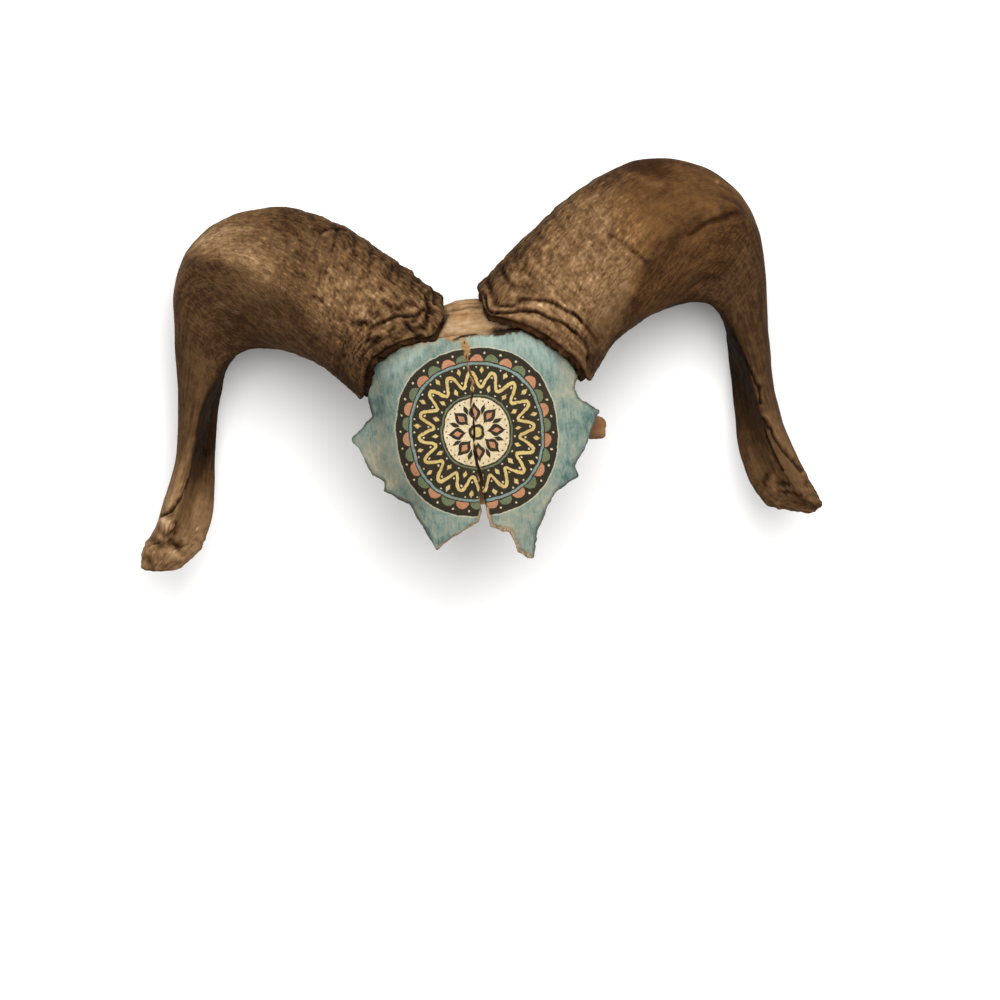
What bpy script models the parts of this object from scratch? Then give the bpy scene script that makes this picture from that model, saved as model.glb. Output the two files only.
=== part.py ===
"""Painted bighorn sheep skull: one bone with a horn sheath on each side.

The skull lies on its back with its forehead up. +X is to the right of someone who looks down on
the forehead, +Y runs from the broken nose towards the back of the head, and +Z is up. Shapes are
drawn in millimetres around the middle of the forehead, with the forehead at height 0, and are
moved to their place when they are made.
"""
import math

import bmesh
import bpy
import numpy as np
from mathutils import Matrix, Vector

MM = 0.001

# Driving dimensions, in millimetres.
PLATE_THICKNESS = 9.0  # the forehead bone
BRAIN_DEPTH = 128.0  # from the forehead down to the base of the skull
REST_DEPTH = 172.0  # from the forehead down to the surface that the horns lie on
HORN_GAP = 0.3  # between a horn and the bone that carries it
FOREHEAD = (3.9, -48.6, REST_DEPTH)  # where the middle of the forehead is, from the origin

# Each row is one cut across a horn, from its base to its tip: x and y of its outer edge, x and y of
# its inner edge, and the height of its upper and its lower side.
HORN_CUTS = {
    "horn_left": (
        (-13, 104, -85, 34, 2, -90),
        (-48, 137, -106, 57, -4, -109),
        (-91, 172, -131, 74, -18, -136),
        (-140, 190, -154, 82, -40, -158),
        (-191, 180, -172, 82, -64, -171),
        (-211, 164, -180, 79, -76, -173),
        (-223, 138, -187, 73, -86, -173.5),
        (-226, 106, -193, 63, -94, -173.5),
        (-230, 49, -201, 38, -102, -173.5),
        (-237, 4, -207, 1, -99, -170),
        (-251, -32, -210, -37, -82, -140),
        (-267, -67, -222, -72, -58, -98),
        (-264, -76, -233, -80, -54, -88),
    ),
    "horn_right": (
        (12, 109, 92, 30, 2, -90),
        (54, 145, 111, 55, -4, -109),
        (101, 178, 141, 74, -18, -136),
        (156, 197, 167, 82, -40, -158),
        (208, 181, 187, 82, -64, -171),
        (226, 163, 194, 78, -76, -173),
        (236, 137, 199, 72, -86, -173.5),
        (238, 107, 203, 62, -94, -173.5),
        (236, 49, 205, 33, -102, -173.5),
        (237, 5, 204, -3, -99, -170),
        (248, -39, 204, -40, -82, -140),
        (259, -78, 218, -77, -58, -98),
        (259, -87, 234, -87, -54, -88),
    ),
}
TIP_ROUNDING = 5.0  # how far the worn end of a horn bulges past its last cut

# The outline of a cut, as a share of its half width (towards its outer edge) and its half height
# (up): outer edge, front face, front keel, cheek face, inner keel, hollow face, hollow face, rear keel.
# The outline turns along the horn, which is how the cheek face comes to lie on top near the bend and
# the hollow inner face near the tip. Each is listed by its place along the horn, from 0 to 1.
HORN_OUTLINES = {
    0.00: (
        (1, -0.05), (0.55, 0.85), (-0.55, 0.95), (-0.98, 0.35),
        (-0.9, -0.5), (-0.45, -0.95), (0.25, -1), (0.85, -0.7),
    ),
    0.30: (
        (0.95, -0.4), (0.9, 0.45), (-0.1, 1), (-0.8, 0.62),
        (-1, -0.15), (-0.7, -0.8), (0, -1), (0.65, -0.85),
    ),
    0.52: (
        (0.6, -0.85), (1, -0.2), (0.85, 0.7), (0, 1),
        (-0.95, 0.65), (-0.95, -0.2), (-0.6, -0.85), (0, -1),
    ),
    0.72: (
        (0.25, -0.95), (0.85, -0.6), (1, 0.1), (0.6, 0.75),
        (-0.2, 1), (-0.6, 0.15), (-1, -0.3), (-0.5, -0.95),
    ),
    1.00: (
        (-0.3, -0.9), (0.5, -0.85), (1, -0.1), (0.9, 0.6),
        (0.5, 1), (0, 0.3), (-0.75, 0.45), (-1, -0.3),
    ),
}
FRONT_KEEL = 2
INNER_KEEL = 4
KEEL_SOFTNESS = {FRONT_KEEL: 0.6, INNER_KEEL: 0.35}
RINGS_ALONG = 56
RING_CROWDING = 1.15  # above 1, the rings stand closer together near the base
POINTS_AROUND = 24

# Folded lips at the base of a horn: distance from the base, height, and half width.
BASE_LIPS = ((3.0, 2.2, 3.5), (15.0, 2.6, 4.0), (27.0, 1.6, 4.5))
RIDGE_PITCH = 24.0
RIDGE_HEIGHT = 1.1
RIDGED_FROM = 38.0
RIDGES_GROW_OVER = 15.0
RIDGED_TO = 190.0
RIDGES_FADE_OVER = 30.0

# The forehead plate seen from above, from its upper left corner down the left side and round.
PLATE_OUTLINE = (
    (-88, 62), (-77, 28), (-76, 19), (-95, 3), (-86, -13), (-81, -25), (-72, -31), (-73, -38),
    (-55, -50), (-50, -61), (-38, -86), (-23, -77), (-5, -69), (-1, -60), (0, -48), (2, -48),
    (2, -60), (3, -73), (17, -79), (21, -87), (22, -94), (33, -101), (40, -78), (50, -60),
    (56, -52), (74, -42), (72, -33), (80, -30), (87, -16), (95, 5), (80, 17), (78, 24), (92, 62),
    (49, 74), (15, 72), (-5, 73), (-18, 73),
)
PLATE_BOTTOM = -75.0
PLATE_TOP = 10.0
DOME_RADII = (135.0, 200.0, 90.0)  # the curve of the forehead, across, along and deep
DOME_MIDDLE_Y = 5.0
DOME_SEGMENTS = 96

# The bone behind the forehead. Radii run across, along and deep, or from a rod's start to its end.
SOCKET_RADII = (24, 32, 29)
SOCKET_TURN = 8.0
SOCKET_HOLLOW_RADII = (36, 22, 20)
SOCKET_HOLLOW_TURN = 12.0
SOCKET_BAR_RADII = (22, 8)
SPINE_JOINT_RADII = (14, 11)
EAR_BONE_RADII = (12, 16, 15)
EAR_SPUR_RADII = (11, 4)
PEDICLE_RADII = (34, 43, 40)  # the bony stump under a horn, along its axis, across and deep
PEDICLE_DEPTH = 46.0
PEDICLE_SET_BACK = 12.0  # from the middle of the horn's base, towards the skull

EVEN_FACES = 2.4
SKULL_TRIANGLES = 0.055  # the share of the even faces that is kept


def place(x, y, z):
    """A drawn point in millimetres, as a point of the model in metres."""
    return Vector(((x + FOREHEAD[0]) * MM, (y + FOREHEAD[1]) * MM, (z + FOREHEAD[2]) * MM))


def clear_scene():
    for old in list(bpy.data.objects):
        bpy.data.objects.remove(old, do_unlink=True)
    for old in list(bpy.data.collections):
        bpy.data.collections.remove(old)


def new_collection(name):
    collection = bpy.data.collections.new(name)
    bpy.context.scene.collection.children.link(collection)
    return collection


def new_material(name, colour, roughness):
    material = bpy.data.materials.new(name)
    material.use_nodes = True
    shader = material.node_tree.nodes["Principled BSDF"]
    shader.inputs["Base Color"].default_value = (*colour, 1.0)
    shader.inputs["Roughness"].default_value = roughness
    shader.inputs["Metallic"].default_value = 0.0
    return material


def smooth_line(knots, values, at):
    """Read a smooth curve through the values at the knots, by cubic pieces with averaged slopes."""
    knots = np.asarray(knots, float)
    values = np.asarray(values, float)
    slopes = np.gradient(values, knots, axis=0)
    piece = np.clip(np.searchsorted(knots, at, side="right") - 1, 0, len(knots) - 2)
    length = (knots[piece + 1] - knots[piece])[:, None]
    share = (at - knots[piece])[:, None] / length
    start = 2 * share**3 - 3 * share**2 + 1
    lean = share**3 - 2 * share**2 + share
    end = 1 - start
    pull = share**3 - share**2
    return (start * values[piece] + lean * length * slopes[piece]
            + end * values[piece + 1] + pull * length * slopes[piece + 1])


def closed_outlines(corners, count):
    """Round closed outlines through their corners, and fit them to the square from -1 to 1."""
    points = corners.shape[1]
    tangents = 0.5 * (np.roll(corners, -1, axis=1) - np.roll(corners, 1, axis=1))
    for keel, softness in KEEL_SOFTNESS.items():
        tangents[:, keel] *= softness
    at = np.arange(count) * points / count
    first = at.astype(int)
    share = (at - first)[None, :, None]
    second = (first + 1) % points
    start = 2 * share**3 - 3 * share**2 + 1
    lean = share**3 - 2 * share**2 + share
    pull = share**3 - share**2
    outline = (start * corners[:, first] + lean * tangents[:, first]
               + (1 - start) * corners[:, second] + pull * tangents[:, second])
    low = outline.min(axis=1, keepdims=True)
    high = outline.max(axis=1, keepdims=True)
    return 2 * (outline - low) / (high - low) - 1


def horn_rings(cuts):
    """Work out the rings of a horn: an array of rings, each with its points in millimetres."""
    cuts = np.asarray(cuts, float)
    middles = 0.5 * (cuts[:, 0:2] + cuts[:, 2:4])
    steps = np.linalg.norm(np.diff(middles, axis=0), axis=1)
    knots = np.concatenate(([0.0], np.cumsum(steps)))
    length = knots[-1]
    along = length * np.linspace(0, 1, RINGS_ALONG) ** RING_CROWDING
    share = along / length
    line = smooth_line(knots, cuts, along)
    outer, inner, top, bottom = line[:, 0:2], line[:, 2:4], line[:, 4], line[:, 5]

    places = list(HORN_OUTLINES)
    corners = np.array(list(HORN_OUTLINES.values()), float)
    flat = corners.reshape(len(places), -1)
    turned = smooth_line(places, flat, share).reshape(RINGS_ALONG, -1, 2)
    outline = closed_outlines(turned, POINTS_AROUND)

    swell = np.zeros(RINGS_ALONG)
    for middle, height, half in BASE_LIPS:
        swell += height * np.exp(-(((along - middle) / half) ** 2))
    growing = np.clip((along - RIDGED_FROM) / RIDGES_GROW_OVER, 0, 1)
    ridged = growing * np.clip((RIDGED_TO - along) / RIDGES_FADE_OVER, 0, 1)
    swell += ridged * RIDGE_HEIGHT * np.sin(2 * math.pi * along / RIDGE_PITCH)
    front = np.clip(outline[:, :, 1] + 0.6, 0, 1)

    half_width = 0.5 * np.linalg.norm(outer - inner, axis=1)
    half_height = 0.5 * (top - bottom)
    grow_width = 1 + front * (swell / half_width)[:, None]
    grow_height = 1 + front * (swell / half_height)[:, None]
    centre = 0.5 * (outer + inner)
    towards_outer = 0.5 * (outer - inner)
    rings = np.empty((RINGS_ALONG, POINTS_AROUND, 3))
    across = outline[:, :, 0] * grow_width
    rings[:, :, 0] = centre[:, 0:1] + across * towards_outer[:, 0:1]
    rings[:, :, 1] = centre[:, 1:2] + across * towards_outer[:, 1:2]
    rings[:, :, 2] = 0.5 * (top + bottom)[:, None] + outline[:, :, 1] * grow_height * half_height[:, None]
    return rings


def add_tip(rings):
    """Round off the last ring of a horn with two smaller rings beyond it."""
    last = rings[-1]
    middle = last.mean(axis=0)
    onward = rings[-1].mean(axis=0) - rings[-3].mean(axis=0)
    onward /= np.linalg.norm(onward)
    shrink = ((0.82, 0.55), (0.45, 1.0))
    caps = [middle + (last - middle) * size + onward * TIP_ROUNDING * out for size, out in shrink]
    return np.concatenate((rings, np.array(caps)))


def make_horn(name, cuts, material, collection):
    """Loft a horn through its rings, close both ends, and shave the stretch that it lies on flat."""
    rings = add_tip(horn_rings(cuts))
    shape = bmesh.new()
    corners = [[shape.verts.new(place(*point)) for point in ring] for ring in rings]
    for ring, after in zip(corners, corners[1:]):
        for index in range(POINTS_AROUND):
            following = (index + 1) % POINTS_AROUND
            shape.faces.new((ring[index], ring[following], after[following], after[index]))
    shape.faces.new(corners[0])
    shape.faces.new(corners[-1])
    bmesh.ops.recalc_face_normals(shape, faces=shape.faces)
    everything = shape.verts[:] + shape.edges[:] + shape.faces[:]
    cut = bmesh.ops.bisect_plane(shape, geom=everything, dist=1e-6, plane_co=(0, 0, 0),
                                 plane_no=(0, 0, -1), clear_outer=True)
    rim = [item for item in cut["geom_cut"] if isinstance(item, bmesh.types.BMEdge)]
    bmesh.ops.contextual_create(shape, geom=rim)
    bmesh.ops.recalc_face_normals(shape, faces=shape.faces)
    mesh = bpy.data.meshes.new(name)
    shape.to_mesh(mesh)
    shape.free()
    mesh.shade_smooth()
    mesh.set_sharp_from_angle(angle=math.radians(50))
    mesh.materials.append(material)
    horn = bpy.data.objects.new(name, mesh)
    collection.objects.link(horn)
    return horn


def mesh_object(name, shape, collection):
    bmesh.ops.recalc_face_normals(shape, faces=shape.faces)
    mesh = bpy.data.meshes.new(name)
    shape.to_mesh(mesh)
    shape.free()
    made = bpy.data.objects.new(name, mesh)
    collection.objects.link(made)
    return made


def ellipsoid(name, collection, centre, radii, turn=0.0, segments=40):
    """An ellipsoid at a drawn point, turned about the upright axis by degrees."""
    shape = bmesh.new()
    bmesh.ops.create_uvsphere(shape, u_segments=segments, v_segments=segments // 2, radius=1.0)
    stretch = Matrix.Diagonal((*(radius * MM for radius in radii), 1.0))
    spin = Matrix.Rotation(math.radians(turn), 4, "Z")
    bmesh.ops.transform(shape, matrix=Matrix.Translation(place(*centre)) @ spin @ stretch, verts=shape.verts)
    return mesh_object(name, shape, collection)


def rod(name, collection, start, end, start_radius, end_radius, sides=24):
    """A round rod or cone between two drawn points."""
    low, high = place(*start), place(*end)
    run = high - low
    shape = bmesh.new()
    bmesh.ops.create_cone(shape, cap_ends=True, segments=sides, radius1=start_radius * MM,
                          radius2=end_radius * MM, depth=run.length)
    aim = run.to_track_quat("Z", "Y").to_matrix().to_4x4()
    bmesh.ops.transform(shape, matrix=Matrix.Translation((low + high) / 2) @ aim, verts=shape.verts)
    return mesh_object(name, shape, collection)


def prism(name, collection, outline, low, high):
    """An upright prism on a drawn outline, between two heights."""
    shape = bmesh.new()
    ring = [shape.verts.new(place(x, y, low)) for x, y in outline]
    base = shape.faces.new(ring)
    lifted = bmesh.ops.extrude_face_region(shape, geom=[base])
    moved = [item for item in lifted["geom"] if isinstance(item, bmesh.types.BMVert)]
    bmesh.ops.translate(shape, vec=(0, 0, (high - low) * MM), verts=moved)
    return mesh_object(name, shape, collection)


def block(name, collection, centre, size, turn=0.0):
    """A box with its middle at a drawn point, turned about the upright axis by degrees."""
    shape = bmesh.new()
    bmesh.ops.create_cube(shape, size=1.0)
    stretch = Matrix.Diagonal((*(side * MM for side in size), 1.0))
    spin = Matrix.Rotation(math.radians(turn), 4, "Z")
    bmesh.ops.transform(shape, matrix=Matrix.Translation(place(*centre)) @ spin @ stretch, verts=shape.verts)
    return mesh_object(name, shape, collection)


def boolean(target, operation, tool):
    step = target.modifiers.new(f"{operation.lower()} {tool.name}", "BOOLEAN")
    step.operation = operation
    step.solver = "EXACT"
    step.object = tool
    tool.hide_render = True
    tool.display_type = "WIRE"


def remesh(target, size):
    step = target.modifiers.new(f"even faces of {size} mm", "REMESH")
    step.mode = "VOXEL"
    step.voxel_size = size * MM
    step.adaptivity = 0.0


def forehead_plate(tools):
    """The domed forehead: the plate's outline cut from a shell that follows the curve of the forehead."""
    across, along, deep = DOME_RADII
    thick = PLATE_THICKNESS
    middle = (0, DOME_MIDDLE_Y, -deep)
    plate = prism("plate_outline", tools, PLATE_OUTLINE, PLATE_BOTTOM, PLATE_TOP)
    dome = ellipsoid("forehead_curve", tools, middle, DOME_RADII, segments=DOME_SEGMENTS)
    hollow = ellipsoid("forehead_underside", tools, middle,
                       (across - thick, along - thick, deep - thick), segments=DOME_SEGMENTS)
    boolean(plate, "INTERSECT", dome)
    boolean(plate, "DIFFERENCE", hollow)
    return plate


def base_plane(name):
    """The middle and the direction of a horn's base, seen from above."""
    outer_x, outer_y, inner_x, inner_y = HORN_CUTS[name][0][:4]
    middle = Vector(((outer_x + inner_x) / 2, (outer_y + inner_y) / 2))
    edge = Vector((outer_x - inner_x, outer_y - inner_y)).normalized()
    away = Vector((-edge.y, edge.x))
    if away.dot(middle) < 0:
        away = -away
    return middle, away


def horn_base_cutter(name, tools):
    """A block that fills the side of the horn's base, less the gap that stays between horn and bone."""
    middle, away = base_plane(name)
    size = 2.2 * BRAIN_DEPTH
    centre = middle + away * (size / 2 - HORN_GAP)
    turn = math.degrees(math.atan2(away.y, away.x))
    return block(f"{name}_side", tools, (centre.x, centre.y, -BRAIN_DEPTH / 2), (size, size, size), turn)


def pedicle(name, tools):
    """The short bony stump under a horn, which the horn's side of the base is cut from later."""
    middle, away = base_plane(name)
    centre = middle - away * PEDICLE_SET_BACK
    turn = math.degrees(math.atan2(away.y, away.x))
    return ellipsoid(f"{name}_pedicle", tools, (centre.x, centre.y, -PEDICLE_DEPTH), PEDICLE_RADII, turn)


def skull_lumps(tools):
    """The rounded forms that the bone behind the forehead plate is built up from."""
    lumps = [
        ellipsoid("braincase", tools, (3, 52, -66), (46, 50, 52)),
        ellipsoid("sinus_roof", tools, (0, 30, -40), (60, 52, 38)),
        ellipsoid("skull_base", tools, (0, 28, -88), (27, 62, 22)),
        ellipsoid("nape_crest", tools, (2, 86, -74), (38, 10, 16)),
        rod("spine_joint_left", tools, (-15, 70, -104), (-17, 92, -112), *SPINE_JOINT_RADII),
        rod("spine_joint_right", tools, (17, 70, -104), (19, 92, -112), *SPINE_JOINT_RADII),
        ellipsoid("ear_bone_left", tools, (-27, 46, -108), EAR_BONE_RADII),
        ellipsoid("ear_bone_right", tools, (29, 46, -108), EAR_BONE_RADII),
        rod("ear_spur_left", tools, (-38, 66, -92), (-37, 60, -BRAIN_DEPTH), *EAR_SPUR_RADII),
        rod("ear_spur_right", tools, (42, 66, -92), (41, 60, -BRAIN_DEPTH), *EAR_SPUR_RADII),
        rod("nose_floor", tools, (0, 10, -88), (0, -48, -78), 18, 9),
        ellipsoid("socket_left", tools, (-60, -10, -44), SOCKET_RADII, SOCKET_TURN),
        ellipsoid("socket_right", tools, (61, -10, -44), SOCKET_RADII, -SOCKET_TURN),
        rod("socket_bar_left", tools, (-50, 20, -50), (-74, 14, -46), *SOCKET_BAR_RADII),
        rod("socket_bar_right", tools, (50, 20, -50), (75, 14, -46), *SOCKET_BAR_RADII),
        ellipsoid("cheek_stump", tools, (79, -4, -71), (23, 11, 9), -SOCKET_TURN),
    ]
    lumps += [pedicle(name, tools) for name in HORN_CUTS]
    return lumps


def skull_hollows(tools):
    """The eye sockets, the broken nose and the spine's hole."""
    return [
        ellipsoid("socket_hollow_left", tools, (-84, -11, -47), SOCKET_HOLLOW_RADII, SOCKET_HOLLOW_TURN),
        ellipsoid("socket_hollow_right", tools, (85, -11, -47), SOCKET_HOLLOW_RADII, -SOCKET_HOLLOW_TURN),
        ellipsoid("nose_hollow", tools, (0, -62, -44), (36, 62, 32)),
        rod("spine_hole", tools, (1, 40, -90), (1, 110, -100), 11, 15),
    ]


def join(name, pieces, collection):
    """Join the evaluated meshes of several objects in one, without the objects that they came from."""
    bpy.context.view_layer.update()
    graph = bpy.context.evaluated_depsgraph_get()
    shape = bmesh.new()
    for piece in pieces:
        solid = bpy.data.meshes.new_from_object(piece.evaluated_get(graph))
        shape.from_mesh(solid)
        bpy.data.meshes.remove(solid)
    mesh = bpy.data.meshes.new(name)
    shape.to_mesh(mesh)
    shape.free()
    for piece in pieces:
        bpy.data.objects.remove(piece, do_unlink=True)
    joined = bpy.data.objects.new(name, mesh)
    collection.objects.link(joined)
    return joined


def make_skull(name, material, collection, tools):
    """Fuse the plate and the lumps, cut the hollows, and even out the faces."""
    pieces = [forehead_plate(tools)] + skull_lumps(tools)
    skull = join(name, pieces, collection)
    skull.data.materials.append(material)
    remesh(skull, EVEN_FACES)
    for hollow in skull_hollows(tools):
        boolean(skull, "DIFFERENCE", hollow)
    remesh(skull, EVEN_FACES)
    soften = skull.modifiers.new("soften", "SMOOTH")
    soften.factor = 0.5
    soften.iterations = 1
    thin = skull.modifiers.new("fewer faces", "DECIMATE")
    thin.ratio = SKULL_TRIANGLES
    for horn in HORN_CUTS:
        boolean(skull, "DIFFERENCE", horn_base_cutter(horn, tools))
    return skull


def main():
    clear_scene()
    parts = new_collection("painted_bighorn_skull")
    tools = new_collection("cutters")
    bone = new_material("painted_bone", (0.24, 0.37, 0.36), 0.75)
    horn = new_material("horn", (0.13, 0.08, 0.045), 0.7)
    for name, cuts in HORN_CUTS.items():
        make_horn(name, cuts, horn, parts)
    make_skull("skull", bone, parts, tools)


main()
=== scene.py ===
"""The looks of a painted bighorn sheep skull that lies on its back with its forehead up.

Shapes are drawn in millimetres around the middle of the forehead: x to the right, y towards the back
of the head and z up, with the forehead at height 0. Each horn sheath is a lofted surface over a grid
of rings and points. The bone is the zero surface of a distance field, meshed by a surface net.
"""
import logging
import math
from dataclasses import dataclass
from enum import IntEnum
from typing import Any, Callable, ClassVar, Sequence

import bpy
import numpy as np
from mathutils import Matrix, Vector


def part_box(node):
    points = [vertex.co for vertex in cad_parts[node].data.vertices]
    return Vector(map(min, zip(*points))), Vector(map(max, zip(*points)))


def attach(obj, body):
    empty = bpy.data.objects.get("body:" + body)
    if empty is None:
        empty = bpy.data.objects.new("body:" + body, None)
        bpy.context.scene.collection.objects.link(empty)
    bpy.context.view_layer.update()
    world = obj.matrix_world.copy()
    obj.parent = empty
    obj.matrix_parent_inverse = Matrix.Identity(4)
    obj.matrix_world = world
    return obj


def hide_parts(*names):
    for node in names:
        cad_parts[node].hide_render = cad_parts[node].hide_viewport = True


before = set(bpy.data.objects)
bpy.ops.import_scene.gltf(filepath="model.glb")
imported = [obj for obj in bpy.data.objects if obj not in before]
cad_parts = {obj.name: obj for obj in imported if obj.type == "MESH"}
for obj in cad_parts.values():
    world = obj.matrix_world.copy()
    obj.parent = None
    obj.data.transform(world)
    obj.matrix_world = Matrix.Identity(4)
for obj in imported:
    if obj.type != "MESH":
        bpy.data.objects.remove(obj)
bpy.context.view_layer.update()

LOG = logging.getLogger("painted_skull")
MM = 0.001
TURN = 2 * math.pi

Array = np.ndarray
Material = bpy.types.Material
Socket = bpy.types.NodeSocket
Span = tuple[float, float]
Point = tuple[float, float]
Place = tuple[float, float, float]
Colour = tuple[float, float, float]
Path = tuple[Point, ...]
Stops = tuple[tuple[float, Colour], ...]
Spot = tuple[Path, float, float]


def srgb(red: float, green: float, blue: float) -> Colour:
    """Turn a colour from 0 to 255 into the linear values that the shaders take.

    Args:
        red, green, blue: The colour as it looks on a screen.

    Returns:
        The three linear values. Each is ((c + 0.055) / 1.055) to the power 2.4, near enough.
    """
    return tuple(((part / 255 + 0.055) / 1.055) ** 2.4 for part in (red, green, blue))


def fade(low: float, high: float, value: Array) -> Array:
    """Rise smoothly from 0 at low to 1 at high: 3t squared minus 2t cubed."""
    share = np.clip((value - low) / (high - low), 0, 1)
    return share * share * (3 - 2 * share)


def fall(low: float, high: float, value: Array) -> Array:
    """Fall smoothly from 1 at low to 0 at high."""
    return 1 - fade(low, high, value)


def bell(gap: Array, half: float) -> Array:
    """A bell that is 1 at no distance: e to the power of minus the square of gap / half."""
    return np.exp(-((gap / half) ** 2))


def cubic(share: Array, first: Array, first_slope: Array, second: Array, second_slope: Array) -> Array:
    """Go from one value to the next by a cubic with the given slopes at its ends.

    Args:
        share: The place between the two values, from 0 to 1.
        first, second: The values.
        first_slope, second_slope: The slopes, over a share of 1.

    Returns:
        (2s3 - 3s2 + 1) * first + (s3 - 2s2 + s) * its slope + (3s2 - 2s3) * second + (s3 - s2) * its slope.
    """
    start = 2 * share**3 - 3 * share**2 + 1
    lean = share**3 - 2 * share**2 + share
    pull = share**3 - share**2
    return start * first + lean * first_slope + (1 - start) * second + pull * second_slope


def through(knots: Sequence[float], values: Any, at: Array) -> Array:
    """Read a smooth curve through values at knots.

    Args:
        knots: The places of the values, rising.
        values: One value or row of values at each knot.
        at: The places to read.

    Returns:
        The values there, from cubic pieces whose slopes are averaged over the neighbouring knots.
    """
    knots = np.asarray(knots, float)
    values = np.asarray(values, float)
    slopes = np.gradient(values, knots, axis=0)
    piece = np.clip(np.searchsorted(knots, at, side="right") - 1, 0, len(knots) - 2)
    extra = (1,) * (values.ndim - 1)
    length = (knots[piece + 1] - knots[piece]).reshape(piece.shape + extra)
    share = (at - knots[piece]).reshape(piece.shape + extra) / length
    slopes = length * slopes[piece], length * slopes[piece + 1]
    return cubic(share, values[piece], slopes[0], values[piece + 1], slopes[1])


def line_distance(x: Array, y: Array, path: Sequence[Point]) -> Array:
    """The distance from points to a bent line, or to a single point, in the plane."""
    nearest = np.full(np.broadcast(x, y).shape, np.inf)
    ends = path[1:] if len(path) > 1 else path
    for (ax, ay), (bx, by) in zip(path, ends):
        run = (bx - ax) ** 2 + (by - ay) ** 2
        share = np.clip(((x - ax) * (bx - ax) + (y - ay) * (by - ay)) / max(run, 1e-9), 0, 1)
        gap = np.hypot(x - ax - share * (bx - ax), y - ay - share * (by - ay))
        nearest = np.minimum(nearest, gap)
    return nearest


def region_distance(x: Array, y: Array, corners: Sequence[Point]) -> Array:
    """The distance from points to a closed outline in the plane, below 0 inside it.

    Args:
        x, y: The points.
        corners: The corners of the outline, in order.

    Returns:
        The distances. A point is inside if a ray from it crosses the outline an odd number of times.
    """
    closed = (*corners, corners[0])
    gap = line_distance(x, y, closed)
    inside = np.zeros(gap.shape, bool)
    for (ax, ay), (bx, by) in zip(closed, closed[1:]):
        if ay != by:
            spans = (ay > y) != (by > y)
            inside ^= spans & (x < (bx - ax) * (y - ay) / (by - ay) + ax)
    return np.where(inside, -gap, gap)


@dataclass(frozen=True)
class Drawing:
    """Where the drawn millimetres lie in the model, and where they were seen from."""

    forehead: Place = (3.9, -48.6, 172.0)
    eye: Place = (13.1, -53.8, 2500.0)
    roll: float = 6.0
    seen_width: float = 745.0
    sensor: float = 36.0

    def to_model(self, points: Array) -> Array:
        """Drawn millimetres as metres in the model."""
        return (points + np.asarray(self.forehead)) * MM

    def as_seen(self, points: Array) -> tuple[Array, Array]:
        """Where points appear to lie on the forehead's level, seen from the eye.

        Args:
            points: Drawn points, with x, y and z on the last axis.

        Returns:
            Their x and y, moved along the line of sight to height 0.
        """
        nearer = self.eye[2] / (self.eye[2] - points[..., 2])
        x = self.eye[0] + (points[..., 0] - self.eye[0]) * nearer
        y = self.eye[1] + (points[..., 1] - self.eye[1]) * nearer
        return x, y


DRAWING = Drawing()


@dataclass(frozen=True)
class Noise:
    """Smooth random values in space, the same each run."""

    seed: int
    strength: ClassVar[float] = 1.7
    layer_shift: ClassVar[float] = 17.3
    slope_bits: ClassVar[int] = 10
    factors: ClassVar[tuple[int, int, int, int]] = (374761393, 668265263, 2147483629, 974634777)
    rounds: ClassVar[tuple[tuple[int, int], ...]] = ((13, 1274126177), (15, 2246822519), (16, 1))

    def at(self, points: Array, size: Any) -> Array:
        """Gradient noise: each corner of a lattice has a slope, and the eight slopes are blended.

        Args:
            points: Points, with x, y and z on the last axis.
            size: The lattice spacing, one number or one for each axis.

        Returns:
            A value for each point, mostly between -1 and 1.
        """
        spot = points / np.asarray(size, float)
        cell = np.floor(spot)
        inside = spot - cell
        corner = cell.astype(np.int64)
        blend = inside**3 * (inside * (inside * 6 - 15) + 10)
        total = np.zeros(points.shape[:-1])
        steepest = 2**self.slope_bits - 1
        for step in np.ndindex(2, 2, 2):
            part = corner + np.asarray(step)
            mixed = self.scramble(part[..., 0], part[..., 1], part[..., 2])
            away = inside - np.asarray(step)
            slope = np.zeros(points.shape[:-1])
            for axis in range(3):
                bits = (mixed >> (self.slope_bits * axis)) & steepest
                slope += (2 * bits / steepest - 1) * away[..., axis]
            weight = np.ones(points.shape[:-1])
            for axis in range(3):
                weight = weight * (blend[..., axis] if step[axis] else 1 - blend[..., axis])
            total += weight * slope
        return total * self.strength

    def scramble(self, x: Array, y: Array, z: Array) -> Array:
        """Mix three whole numbers and the seed into one of 32 bits that looks random."""
        mask = np.uint64(0xFFFFFFFF)
        mixed = sum(part * factor for part, factor in zip((x, y, z, self.seed), self.factors))
        mixed = mixed.astype(np.uint64) & mask
        for shift, factor in self.rounds:
            mixed = ((mixed ^ (mixed >> np.uint64(shift))) * np.uint64(factor)) & mask
        return mixed.astype(np.int64)

    def layers(self, points: Array, size: Any, count: int) -> Array:
        """Add finer and weaker layers of noise, each half as large and half as strong."""
        total = np.zeros(points.shape[:-1])
        for layer in range(count):
            total += self.at(points + self.layer_shift * layer, np.asarray(size, float) / 2**layer) / 2**layer
        return total


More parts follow.
